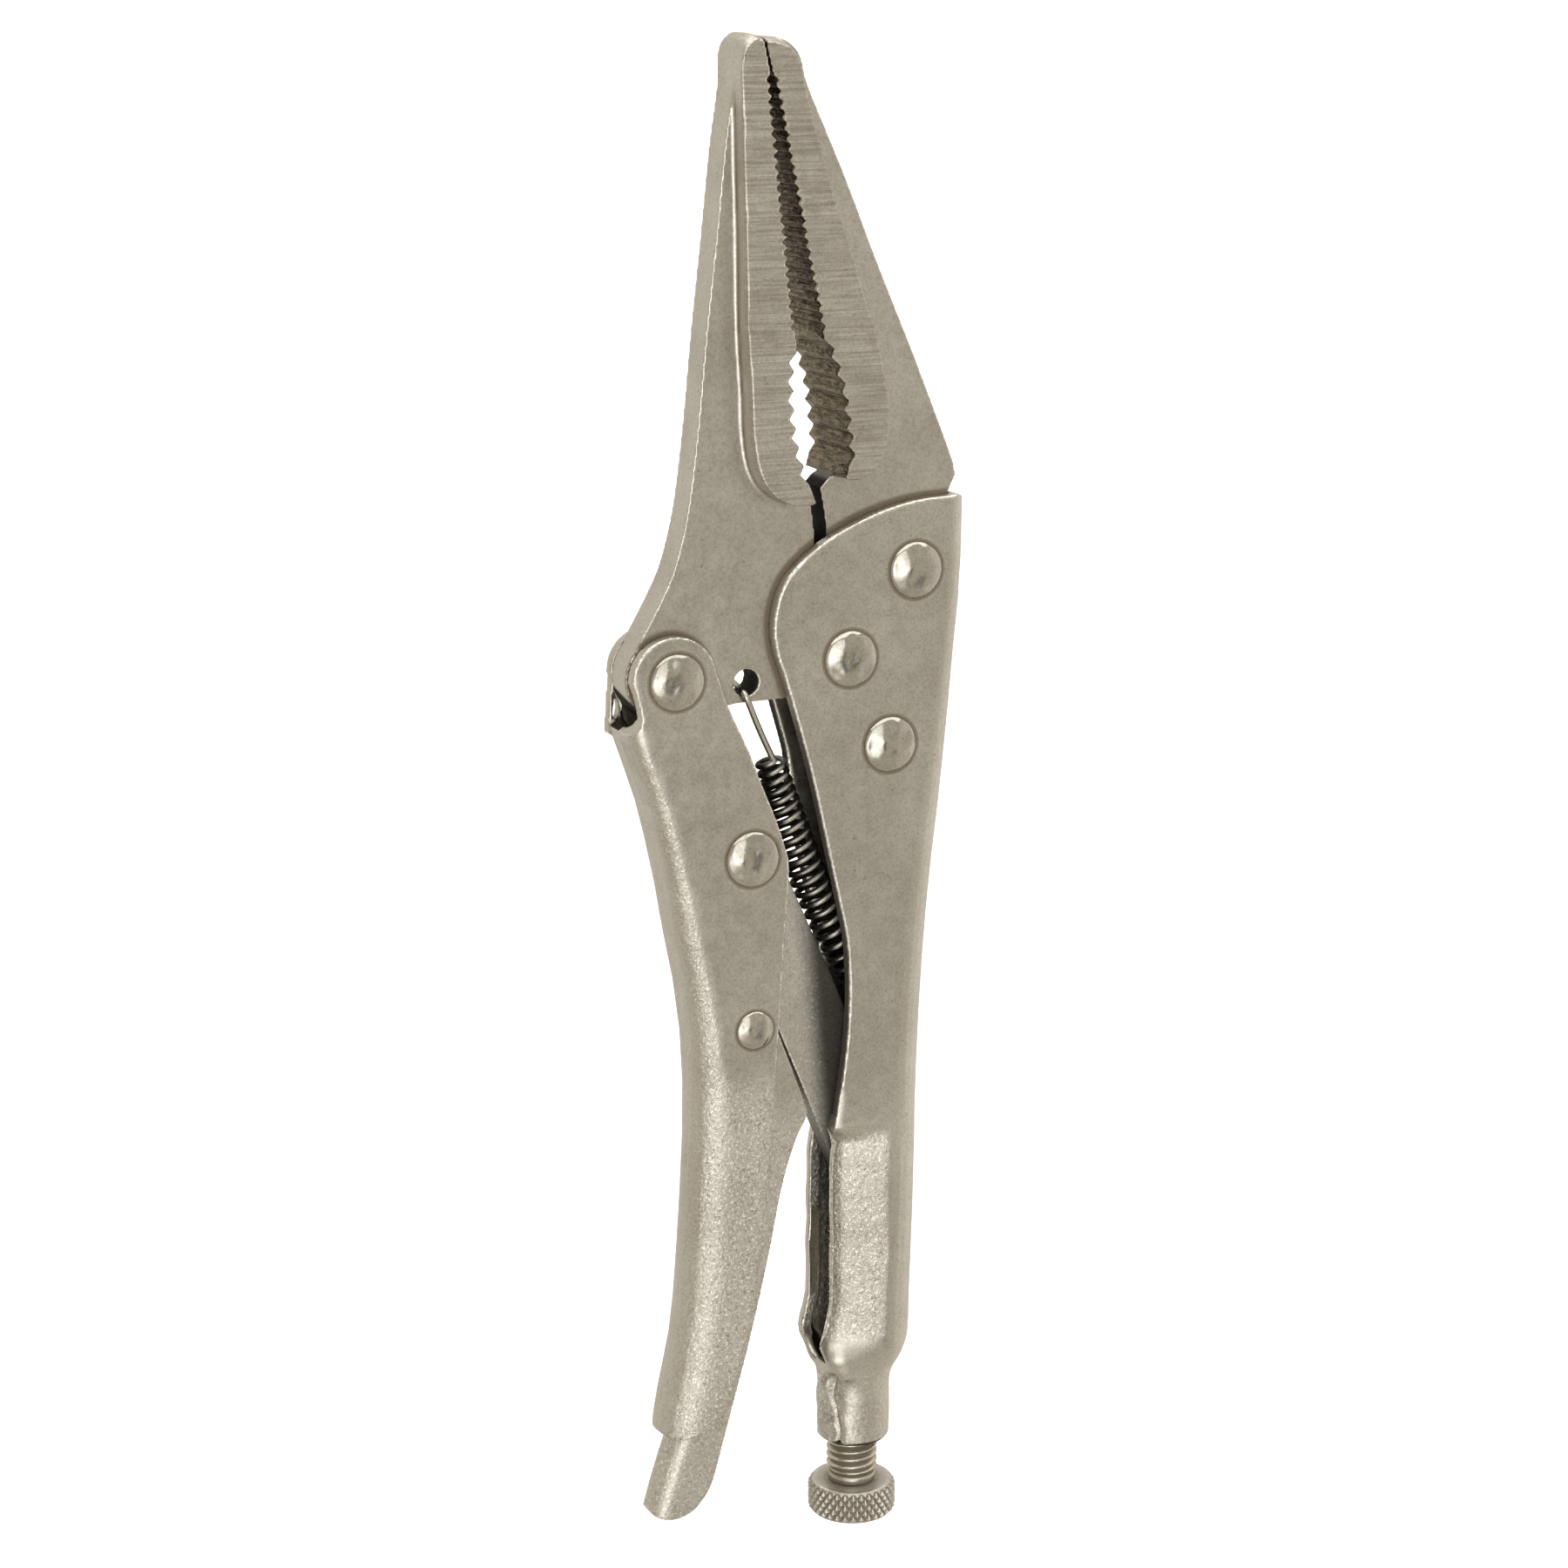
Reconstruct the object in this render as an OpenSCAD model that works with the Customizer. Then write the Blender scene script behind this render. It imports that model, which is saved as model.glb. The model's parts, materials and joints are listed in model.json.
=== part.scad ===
// Long-nose locking pliers, nominal 9 inch, drawn locked with the jaw tips shut.
// Every piece is drawn lying in the plane of the plates: x across, y along the
// length with the jaws at +y and the jaw pivot at [0, 0], z through the thickness.
// stand() then turns the tool upright on its adjusting knob.

/* [Plates] */
// Thickness of the forged jaw blanks
jaw_t = 5.8; // [5:0.1:5.9]
// Half the outer width of the fixed handle channel
handle_half = 5.1; // [5.1:0.1:5.6]
// Half the outer width of the lever channel
lever_half = 5.5; // [5.4:0.1:6]
// Sheet thickness of the two handles
sheet_t = 2.1; // [1.9:0.05:2.1]
// Thickness of the toggle link
link_t = 4.4; // [3.6:0.1:4.5]
// Half the outer width of the release lever
release_half = 3.25; // [3.2:0.05:3.3]
// Sheet thickness of the release lever
release_t = 0.9; // [0.7:0.05:1]

/* [Jaw pads] */
// Half the width of the toothed pads at the tip
pad_half_tip = 6; // [5:0.1:6.5]
// Half the width of the toothed pads at their rear end
pad_half_rear = 7.2; // [6.9:0.1:7.5]
// How much narrower the pad is on the far side
far_pad_inset = 1.4; // [0:0.1:2]
// Pitch of the fine teeth
fine_pitch = 1.5; // [1.2:0.1:2]
// Height of the fine teeth, from mid line to crest
fine_amp = 0.4; // [0.2:0.05:0.5]
// Pitch of the coarse teeth
coarse_pitch = 2.55; // [2.2:0.05:3]
// Height of the coarse teeth, from mid line to crest
coarse_amp = 0.5; // [0.3:0.05:0.6]

/* [Rivets] */
// Radius of the large rivets' shanks
rivet_r = 2.6; // [2:0.1:3]
// Radius of the large rivet heads
head_r = 4.35; // [4:0.05:4.6]
// Height of the large rivet heads
head_h = 1.35; // [1:0.05:1.4]
// Radius of the release lever's rivet
small_rivet_r = 1.6; // [1.4:0.1:2]
// Radius of the release rivet's heads
small_head_r = 3.05; // [2.8:0.05:3.3]
// Height of the release rivet's heads
small_head_h = 0.95; // [0.8:0.05:1.1]
// Radial clearance round every rivet
rivet_gap = 0.05; // [0.02:0.01:0.09]

/* [Adjusting screw] */
// Outer radius of the M8 thread
thread_r = 3.95; // [3.9:0.01:3.98]
// Outer radius of the handle's neck
neck_r = 5.95; // [5.8:0.05:6.1]
// Radius of the knurled knob
knob_r = 6.9; // [6.5:0.1:7.2]
// Height of the knurled knob
knob_h = 5.1; // [4.5:0.1:6]

/* [Return spring] */
// Radius of the spring wire
wire_r = 0.4; // [0.3:0.05:0.45]
// Radius of the coil's ends to the middle of the wire
coil_r = 1.75; // [1.6:0.05:2]
// How much wider the coil is at its middle
coil_swell = 0.75; // [0:0.05:0.8]
// Number of turns
coil_turns = 22; // [18:1:24]

/* [Hidden] */

$fn = 48;

// Colours
nickel = [0.68, 0.66, 0.60];
dark_nickel = [0.56, 0.54, 0.48];
bright = [0.82, 0.80, 0.75];

// Where the standing tool's base and middle lie
knob_end_y = -138;
middle_x = -7.85;

// Rivet and joint centres
jaw_pivot = [0, 0];
front_rivet = [10.5, 12.5];
rear_rivet = [6.5, -13.5];
lever_pivot = [-27.7, -1.1];
link_pivot = [-15.9, -28.7];
release_pivot = [-15.6, -55.1];
link_end = [3.4, -84];
spring_hole = [-15.8, -2.7];
spring_hole_r = 2;
spring_anchor = [6.2, -58.5];
screw_x = 3.16;

// Fixed handle
handle_inner = handle_half - sheet_t;
handle_top_y = 26;
tube_top_y = -71;
tube_end_y = -114.4;
neck_top_y = -113.6;
neck_end_y = -125.4;
neck_bore_r = thread_r + rivet_gap;
tab_half = 0.6;

// Adjusting screw
knob_top_y = knob_end_y + knob_h;
collar_h = 1.3;
collar_r = 3.7;
screw_tip_y = -89.6;
tip_chamfer = 1;

// Smooth curves ------------------------------------------------------------

// One span of a Catmull-Rom curve from b to c
function span(a, b, c, d, t) =
    0.5 * ((2 * b) + (c - a) * t + (2 * a - 5 * b + 4 * c - d) * t * t
    + (3 * b - a - 3 * c + d) * t * t * t);

// A smooth open curve through points p, with n steps to each span
function curve(p, n = 4) = [
    for (i = [0 : len(p) - 2])
        let (a = i > 0 ? p[i - 1] : 2 * p[0] - p[1])
        let (d = i < len(p) - 2 ? p[i + 2] : 2 * p[i + 1] - p[i])
        for (k = [0 : n - 1]) span(a, p[i], p[i + 1], d, k / n),
    p[len(p) - 1]
];

// Value at y of a table of [y, value] rows that run down in y
function at(rows, y, i = 0) =
    i < len(rows) - 2 && y < rows[i + 1][0] ? at(rows, y, i + 1) :
    let (a = rows[max(i - 1, 0)], b = rows[i])
    let (c = rows[i + 1], d = rows[min(i + 2, len(rows) - 1)])
    let (t = (y - b[0]) / (c[0] - b[0]), w = c[0] - b[0])
    let (mb = w * (c[1] - a[1]) / (c[0] - a[0]), mc = w * (d[1] - b[1]) / (d[0] - b[0]))
    (2 * t * t * t - 3 * t * t + 1) * b[1] + (t * t * t - 2 * t * t + t) * mb
    + (3 * t * t - 2 * t * t * t) * c[1] + (t * t * t - t * t) * mc;

// Points of an arc about c
function arc(c, r, from, to, n = 8) = [
    for (k = [0 : n]) c + r * [cos(from + (to - from) * k / n), sin(from + (to - from) * k / n)]
];

// Saw teeth along a mid line given as rows of [y, x]; side is +1 or -1 for the crests
function teeth(rows, top, bottom, pitch, amp, side) =
    let (n = round((top - bottom) / pitch))
    [for (k = [0 : 2 * n])
        let (y = top + (bottom - top) * k / (2 * n))
        [at(rows, y) + side * amp * (k % 2 == 0 ? 1 : -1), y]];

// Shared modules -----------------------------------------------------------

// Turns a piece drawn in the plane of the plates upright, on the middle of its base
module stand() {
    translate([-middle_x, 0, -knob_end_y])
        rotate([90, 0, 0])
            children();
}

// A plate of thickness t, centred on the middle plane
module plate(points, t) {
    linear_extrude(height = t, center = true)
        polygon(points);
}

// A hole right through the tool at p
module bore(p, r) {
    translate([p.x, p.y, 0])
        cylinder(h = 40, r = r, center = true);
}

// A rivet through plates of half width h, with a low dome at both ends
module rivet(p, h, r, dome_r, dome_h) {
    rim = dome_h * 0.3;
    rise = dome_h - rim;
    ball_r = (dome_r * dome_r + rise * rise) / (2 * rise);
    steps = 8;
    sweep = asin(dome_r / ball_r);
    dome = [for (k = [0 : steps])
        let (a = sweep * (1 - k / steps))
        [ball_r * sin(a), h + dome_h - ball_r + ball_r * cos(a)]];
    half = concat([[r, h], [dome_r, h]], dome);
    profile = concat(half, [for (k = [len(half) - 1 : -1 : 0]) [half[k].x, -half[k].y]]);
    translate([p.x, p.y, 0])
        rotate_extrude()
            polygon(profile);
}

// A bent channel: rings of [y, back x, open x, half width, corner radius]. The back
// wall is on the side of the back x, and the channel is open on the other side.
module channel(rings, t, corner_steps = 6) {
    function side_of(back, open, half, r) =
        let (s = sign(open - back))
        concat([[open, half]], [
            for (k = [0 : corner_steps])
                let (a = 90 + 90 * k / corner_steps)
                [back + s * r * (1 + cos(a)), half - r + r * sin(a)]
        ]);
    sheet_loft([
        for (ring = rings)
            let (s = sign(ring[2] - ring[1]))
            [
                ring[0],
                side_of(ring[1], ring[2], ring[3], ring[4]),
                side_of(ring[1] + s * t, ring[2], ring[3] - t, ring[4] - t)
            ]
    ]);
}

// A bent sheet as one closed solid. Each row is [y, outer path, inner path]: the paths
// hold equally many [x, z] points of the near half, and the far half mirrors them.
module sheet_loft(rows) {
    function both(p) = concat(p, [for (k = [len(p) - 1 : -1 : 0]) [p[k].x, -p[k].y]]);
    function reversed(p) = [for (k = [len(p) - 1 : -1 : 0]) p[k]];
    rings = [
        for (row = rows)
            [for (q = concat(both(row[1]), reversed(both(row[2])))) [q.x, row[0], q.y]]
    ];
    n = len(rings[0]);
    m = len(rings);
    last = (m - 1) * n;
    sides = [for (i = [0 : m - 2], k = [0 : n - 1])
        each [
            [i * n + k, i * n + (k + 1) % n, (i + 1) * n + (k + 1) % n],
            [i * n + k, (i + 1) * n + (k + 1) % n, (i + 1) * n + k]
        ]];
    ends = [for (k = [0 : n / 2 - 2])
        let (q = n - 1 - k)
        each [
            [k, q, q - 1], [k, q - 1, k + 1],
            [last + k, last + q - 1, last + q], [last + k, last + k + 1, last + q - 1]
        ]];
    faces = concat(sides, ends);
    inside_out = area_of(rings[0]) * (rings[1][0].y - rings[0][0].y) < 0;
    turned = [for (f = faces) [f[2], f[1], f[0]]];
    polyhedron([for (ring = rings) each ring], inside_out ? turned : faces, convexity = 10);
}

// Twice the signed area of a ring in x and z, whose sign tells which way it runs
function area_of(ring) =
    let (n = len(ring))
    [for (k = [0 : n - 1]) ring[k].x * ring[(k + 1) % n].z - ring[(k + 1) % n].x * ring[k].z]
    * [for (k = [0 : n - 1]) 1];

// Fixed handle -------------------------------------------------------------

// Right side of the handle
handle_right = [
    [26, 19.1], [17.6, 19.1], [9.6, 18.9], [0, 18.1], [-9.3, 17.4], [-18.7, 16.6],
    [-26.2, 15.9], [-34.7, 15.0], [-48.4, 14.0], [-62.5, 13.3], [-77, 12.9],
    [-90.6, 12.6], [-102, 12.2], [-107, 12.1], [-110, 11.8], [-112, 11.0],
    [-114, 9.4], [-118, 9.1]
];
// Bend radius of the handle's spine
handle_bend = [[26, 2.9], [10, 3.1], [-20, 4.0], [-45, 4.9], [-75, 4.95], [-80, 4.95]];

// Outline of the flat side plates
handle_outline = concat(
    curve([[24, 21], [18.6, 22.9]], 1),
    curve([
        [17.4, 23.2], [10.6, 22.8], [4.1, 21.3], [-1, 19.3], [-4.6, 17.4], [-7.4, 15.4],
        [-10.1, 12.7], [-11.7, 9.3], [-12.3, 5.4], [-11.8, 1.6], [-10.5, -2.3],
        [-8.2, -10], [-6, -18], [-3.6, -28.6], [-1.9, -36], [-0.4, -43.1], [0, -48.5],
        [0, -54.4], [-0.4, -60.2], [-1.3, -67], [-2.2, -72.8]
    ], 3),
    [[-2.2, -74.5], [24, -74.5]]
);

// Tube round the screw: rows of [y, value]
tube_left = [
    [-71, -1.9], [-73, -2.4], [-77, -3.0], [-85, -3.2], [-102, -3.4], [-104.5, -3.9],
    [-107, -4.5], [-109, -4.2], [-111, -3.4], [-112.8, -2.8], [-114.4, -2.7]
];
tube_half = [
    [-71, 5.0], [-73, 5.35], [-76, 6.0], [-80, 6.2], [-104, 6.3], [-108, 6.35],
    [-111, 6.2], [-112.8, 6.15], [-114.4, 6.1]
];
tube_slot = [[-71, 2.2], [-80, 2.9], [-104, 2.9], [-108, 3.0], [-112, 2.6], [-114.4, 2.2]];
lip_bend = 2.7;
tube_sheet_t = 2;

// One row of the C-shaped tube at height y: its outer and inner paths
function tube_row(y) =
    let (xl = at(tube_left, y), xr = at(handle_right, y), h = at(tube_half, y))
    let (s = at(tube_slot, y), rl = lip_bend, rr = h - 0.15)
    let (path = function (t) concat(
        [[xl + t, s]],
        [for (a = [180 : -22.5 : 90]) [xl + rl + (rl - t) * cos(a), h - rl + (rl - t) * sin(a)]],
        [for (a = [90 : -15 : 0]) [xr - rr + (rr - t) * cos(a), h - rr + (rr - t) * sin(a)]]))
    [y, path(0), path(tube_sheet_t)];

// Heights of the tube's rings
tube_heights = [
    -71, -72.5, -74, -76, -78.5, -82, -88, -96, -102, -104.5, -106, -107.5, -109,
    -110.5, -112, -113.2, -114.4
];

// The handle's two side plates and spine
module handle_channel() {
    heights = [26, 20, 14, 7, 0, -8, -16, -24, -32, -40, -48, -56, -64, -74];
    intersection() {
        channel([
            for (y = heights) [y, at(handle_right, y), -20, handle_half, at(handle_bend, y)]
        ], sheet_t);
        plate(handle_outline, 20);
    }
}

// The round end that carries the thread
module handle_neck() {
    chamfer = 0.6;
    translate([screw_x, neck_end_y, 0])
        rotate([-90, 0, 0])
            rotate_extrude()
                polygon([
                    [neck_bore_r, 0], [neck_r - chamfer, 0], [neck_r, chamfer],
                    [neck_r, neck_top_y - neck_end_y], [neck_bore_r, neck_top_y - neck_end_y]
                ]);
}

// The tongue inside the channel that holds the spring's lower hook
module spring_tab() {
    difference() {
        translate([4.6, spring_anchor.y - 2.6, -tab_half])
            cube([7.6, 5.2, 2 * tab_half]);
        translate([spring_anchor.x, spring_anchor.y, 0])
            cylinder(h = 4, r = 1, center = true);
    }
}

module fixed_handle() {
    color(nickel) stand()
        difference() {
            union() {
                handle_channel();
                sheet_loft([for (y = tube_heights) tube_row(y)]);
                handle_neck();
                spring_tab();
            }
            bore(jaw_pivot, rivet_r + rivet_gap);
            bore(front_rivet, rivet_r + rivet_gap);
            bore(rear_rivet, rivet_r + rivet_gap);
        }
}

// Jaws ---------------------------------------------------------------------

// Mid lines of the teeth, rows of [y, x]
lower_tooth_line = [
    [86, -13.7], [66, -11.75], [47, -9.85], [44, -10.2], [40, -10.4], [36, -10.2],
    [32, -9.6], [28, -8.5], [25, -7.6]
];
upper_tooth_line = [
    [86, -12.7], [66, -8.75], [48, -5.0], [44, -3.4], [40, -2.2], [36, -1.5],
    [32, -1.0], [28.5, -0.8]
];
fine_top = 84.4;
fine_end = 48.4;

lower_teeth = concat(
    teeth(lower_tooth_line, fine_top, fine_end, fine_pitch, fine_amp, 1),
    teeth(lower_tooth_line, 45.5, 26.6, coarse_pitch, coarse_amp, 1)
);
upper_teeth = concat(
    teeth(upper_tooth_line, fine_top, fine_end, fine_pitch, fine_amp, -1),
    teeth(upper_tooth_line, 47.2, 29.2, coarse_pitch, coarse_amp, -1)
);

// Side profile that tapers the pads from the rear to the tip
module pad_taper(side) {
    rotate([90, 0, 90])
        linear_extrude(height = 80, center = true)
            polygon([
                [20, 0], [95, 0], [95, side * pad_half_tip],
                [88, side * pad_half_tip], [28, side * pad_half_rear],
                [20, side * pad_half_rear]
            ]);
}

// A pad on one side of a jaw
module pad(points, side) {
    intersection() {
        plate(points, 30);
        pad_taper(side);
    }
}

// Outer edge of the lower jaw's pad, moved in by inset
function lower_pad(inset) = concat(
    [[-14, 89.7]],
    curve([
        [-15.4, 90.1], [-16.9 + inset, 88.7], [-17.5 + inset, 86], [-17.5 + inset, 82],
        [-17.3 + inset, 70], [-17.1 + inset, 60], [-17 + inset, 49], [-16.5 + inset, 40],
        [-16.3 + inset, 34], [-15.5 + inset / 2, 29], [-13.7, 25.8], [-11.2, 24],
        [-8.9, 23.4], [-6.4, 23.6]
    ], 3),
    [for (k = [len(lower_teeth) - 1 : -1 : 0]) lower_teeth[k]]
);

// Outer edge of the upper jaw's pad, moved in by inset
function upper_pad(inset) = concat(
    [[-13.8, 89.6]],
    upper_teeth,
    curve([
        [-1.9, 27], [0.2, 26.7], [2.8, 28], [4.6 - inset / 2, 31], [5.2 - inset, 35],
        [4.8 - inset, 39], [3.7 - inset, 45.4], [0.3 - inset, 56.2], [-4.4 - inset, 70.5],
        [-7.5 - inset / 2, 81.6], [-8.5 - inset / 2, 86], [-9.8, 88.5], [-12, 89.5]
    ], 3)
);

lower_jaw_outline = concat(
    [[-14, 89.7]],
    curve([
        [-15, 90], [-16.6, 89.2], [-17.5, 87], [-17.6, 82.6], [-18.9, 73.9], [-20.3, 61.2],
        [-21.8, 48.6], [-23.2, 35], [-24.6, 24.5], [-25.9, 18.5], [-27.4, 13.8],
        [-29.6, 9.5], [-32.2, 5]
    ], 3),
    arc(lever_pivot, 6.9, 138, 262, 14),
    curve([[-27, -7.9], [-23, -6.6], [-18.7, -5.8], [-13, -5.6], [-8, -5.5], [-6, -5.6]], 3),
    arc(jaw_pivot, 8.2, 223, 480, 26),
    curve([[-4.5, 9.5], [-4.8, 17.1], [-5.4, 22.5], [-6.4, 24.4]], 3),
    [for (k = [len(lower_teeth) - 1 : -1 : 0]) lower_teeth[k]]
);

upper_jaw_outline = concat(
    [[-13.8, 89.6]],
    upper_teeth,
    [[-1.4, 27.4], [-3, 26.4]],
    curve([[-4.1, 25.2], [-3.4, 21.5], [-3, 17.5], [-3, 9.4]], 3),
    arc(jaw_pivot, 8.45, 98, -68, 20),
    curve([[3.2, -8.6], [0.8, -12], [0.6, -16], [3, -19.3], [7, -20.2], [11, -18.8]], 3),
    curve([[13.4, -14], [14.4, -6], [15, 4], [15.5, 14]], 3),
    curve([[15.6, 18], [15.9, 21.5], [16.9, 23.8]], 3),
    curve([
        [17.9, 25.8], [17.7, 27.2], [16.9, 29.5], [13.8, 37.1], [10.6, 44.7], [4.9, 57.6],
        [-0.1, 69.6], [-5.1, 80.5], [-6.5, 84], [-7.1, 86.5], [-8.4, 88.3], [-10.2, 89.3],
        [-12.3, 89.6]
    ], 3)
);

module upper_jaw() {
    color(nickel) stand()
        difference() {
            union() {
                plate(upper_jaw_outline, jaw_t);
                pad(upper_pad(0), 1);
                pad(upper_pad(far_pad_inset), -1);
            }
            bore(front_rivet, rivet_r + rivet_gap);
            bore(rear_rivet, rivet_r + rivet_gap);
        }
}

module lower_jaw() {
    color(nickel) stand()
        difference() {
            union() {
                plate(lower_jaw_outline, jaw_t);
                pad(lower_pad(0), 1);
                pad(lower_pad(far_pad_inset), -1);
            }
            bore(jaw_pivot, rivet_r + rivet_gap);
            bore(lever_pivot, rivet_r + rivet_gap);
            bore(spring_hole, spring_hole_r);
        }
}

// Lever --------------------------------------------------------------------

// Back of the lever, which is its left side
lever_back = [
    [8, -36.5], [-2, -35.9], [-9.7, -34.6], [-14.7, -32.9], [-20.4, -31.05], [-30.9, -28.7],
    [-41.8, -26.9], [-47.5, -25.8], [-56, -24.8], [-64.4, -24.55], [-72.8, -24.8],
    [-81.4, -25.3], [-97.3, -26.5], [-104, -27.3], [-109.2, -28.4], [-115.3, -29.7],
    [-121, -30.4]
];
lever_bend = [[8, 2.5], [-20, 2.8], [-50, 4.0], [-75, 5.2], [-121, 5.35]];

lever_outline = concat(
    arc(lever_pivot + [-0.3, 0], 6.6, 178, 28, 14),
    curve([
        [-21.2, -0.9], [-19.6, -5.6], [-16.5, -12.3], [-14.3, -17.8], [-12.3, -22.6],
        [-10.8, -27], [-10, -31], [-10.8, -41.7], [-11.3, -50], [-12.2, -62.4],
        [-13.4, -76.3], [-14.4, -86], [-15.6, -97], [-17.5, -105.4], [-19.4, -112],
        [-20.9, -115.7], [-22.6, -117.7], [-24.6, -118.9], [-27, -119.4], [-29, -119.1],
        [-30.6, -118.3], [-32, -116.5], [-33, -113]
    ], 3),
    [[-40, -100], [-40, -9]],
    curve([[-34.4, -8.6], [-33.3, -7], [-33.3, -5.2], [-34, -2.6]], 3)
);

module lever_handle() {
    notch_half = lever_half - sheet_t;
    notch_end = -4.8;
    heights = [
        7, 0, -7, -10, -15, -20, -26, -33, -41, -48, -56, -64, -73, -82, -90, -98, -104,
        -109, -113, -117, -121
    ];
    color(nickel) stand()
        difference() {
            intersection() {
                channel([
                    for (y = heights) [y, at(lever_back, y), 0, lever_half, at(lever_bend, y)]
                ], sheet_t);
                plate(lever_outline, 20);
            }
            translate([-45, notch_end, 0])
                rotate([0, 90, 0])
                    cylinder(h = 20, r = notch_half);
            translate([-45, notch_end, -notch_half])
                cube([20, 30, 2 * notch_half]);
            bore(lever_pivot, rivet_r + rivet_gap);
            bore(link_pivot, rivet_r + rivet_gap);
            bore(release_pivot, small_rivet_r + rivet_gap);
        }
}

// Release lever ------------------------------------------------------------

release_back = [
    [-50, -21.5], [-60, -21.4], [-72, -21.5], [-84, -22.0], [-96, -23.0], [-104, -24.1],
    [-110, -25.2], [-116, -26.9], [-120, -28.2], [-124.4, -29.8], [-129, -31.2], [-136, -33.2]
];

release_outline = concat(
    arc(release_pivot, 4.4, 178, 28, 10),
    curve([
        [-10.9, -56.5], [-9.4, -60.5], [-6.3, -68.8], [-6.1, -70.6], [-7.6, -73.4],
        [-9.2, -77.7], [-10.7, -83.4], [-12, -90], [-13.8, -98], [-15.9, -106.5],
        [-17.9, -113.6], [-20.4, -122.5], [-21.6, -126.8], [-22.5, -129], [-23.7, -130.8],
        [-25.4, -132.4], [-27.8, -133.1], [-29.6, -132.9], [-31.2, -132.1], [-32.2, -130.6],
        [-33, -128]
    ], 3),
    [[-36, -126], [-36, -60], [-22.4, -59.2]]
);

module release_lever() {
    heights = [-50, -60, -70, -80, -90, -98, -104, -110, -115, -119, -123, -128, -135];
    bend = release_half - 0.1;
    color(nickel) stand()
        difference() {
            intersection() {
                channel([
                    for (y = heights) [y, at(release_back, y), -2, release_half, bend]
                ], release_t);
                plate(release_outline, 20);
            }
            bore(release_pivot, small_rivet_r + rivet_gap);
        }
}

// Toggle link --------------------------------------------------------------

link_outline = concat(
    arc(link_pivot, 5.3, 20, 205, 14),
    curve([[-19.9, -34.5], [-16.6, -42], [-10.1, -57.5], [-1.6, -78.1], [0.6, -83.4]], 3),
    arc(link_end, 2.8, 195, 340, 10),
    curve([[6.6, -81], [5.8, -72], [3.2, -61], [-0.5, -51.7], [-4.1, -43.5], [-8.7, -33.2]], 3)
);

module toggle_link() {
    color(dark_nickel) stand()
        difference() {
            plate(link_outline, link_t);
            bore(link_pivot, rivet_r + rivet_gap);
        }
}

// Adjusting screw ----------------------------------------------------------

// A turned piece on the screw's axis, its profile given as [radius, y]
module on_screw_axis(profile) {
    translate([screw_x, 0, 0])
        rotate([-90, 0, 0])
            rotate_extrude()
                polygon(profile);
}

module adjusting_screw() {
    color(dark_nickel) stand()
        on_screw_axis([
            [0, knob_top_y], [collar_r, knob_top_y], [collar_r, knob_top_y + collar_h],
            [thread_r, knob_top_y + collar_h + 0.4], [thread_r, screw_tip_y - tip_chamfer],
            [thread_r - tip_chamfer, screw_tip_y], [0, screw_tip_y]
        ]);
}

module screw_knob() {
    chamfer = 0.6;
    color(nickel) stand()
        on_screw_axis([
            [0, knob_end_y], [knob_r - chamfer, knob_end_y], [knob_r, knob_end_y + chamfer],
            [knob_r, knob_top_y - chamfer], [knob_r - chamfer, knob_top_y], [0, knob_top_y]
        ]);
}

// Return spring ------------------------------------------------------------

spring_dir = (spring_anchor - spring_hole) / norm(spring_anchor - spring_hole);
spring_side = [-spring_dir.y, spring_dir.x];
spring_len = norm(spring_anchor - spring_hole);
coil_start = 13.4;
coil_end = 53;
turn_steps = 12;
coil_stretch = 0.22;

// A point at distance d down the spring, u to its side and w through the thickness
function on_spring(d, u, w) =
    let (q = spring_hole + spring_dir * d + spring_side * u)
    [q.x, q.y, w];

upper_hook = [
    on_spring(0.4, 0, -3.9), on_spring(0.6, -0.3, -2.6), on_spring(0.7, -0.6, 0),
    on_spring(0.8, -0.9, 2.4), on_spring(1.3, -1, 3.5), on_spring(2.6, -1, 3.7),
    on_spring(6, -0.8, 3.1), on_spring(10, -0.4, 2.3)
];
// The coil is closer wound at its top, and swells towards its middle
coil = [for (k = [0 : coil_turns * turn_steps])
    let (a = 90 + 360 * k / turn_steps, s = k / (coil_turns * turn_steps))
    let (r = coil_r + coil_swell * sin(180 * s))
    let (d = s * (1 - coil_stretch + coil_stretch * s))
    on_spring(coil_start + (coil_end - coil_start) * d, r * cos(a), r * sin(a))];
lower_hook = [
    on_spring(54.6, 0, 1.7), on_spring(57, 0, 1.5), on_spring(58.9, 0, 1.2),
    on_spring(59.8, 0, 0.5), on_spring(59.9, 0, -0.6), on_spring(59.6, 0, -1.5)
];
spring_path = concat(upper_hook, coil, lower_hook);

// Direction of the path at point k
function heading(p, k) =
    let (v = p[min(k + 1, len(p) - 1)] - p[max(k - 1, 0)])
    v / norm(v);

// A wire of radius r along path p; the frame is carried along so that it never flips
function wire_rings(p, r, k = 0, up = [0, 0, 0], done = []) =
    k == len(p) ? done :
    let (h = heading(p, k))
    let (start = k == 0 ? [spring_side.x, spring_side.y, 0.001] : up)
    let (flat = start - (start * h) * h)
    let (n = flat / norm(flat), b = cross(h, n))
    wire_rings(p, r, k + 1, n, concat(done, [
        [for (a = [0 : 60 : 300]) p[k] + r * (cos(a) * n + sin(a) * b)]
    ]));

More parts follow.
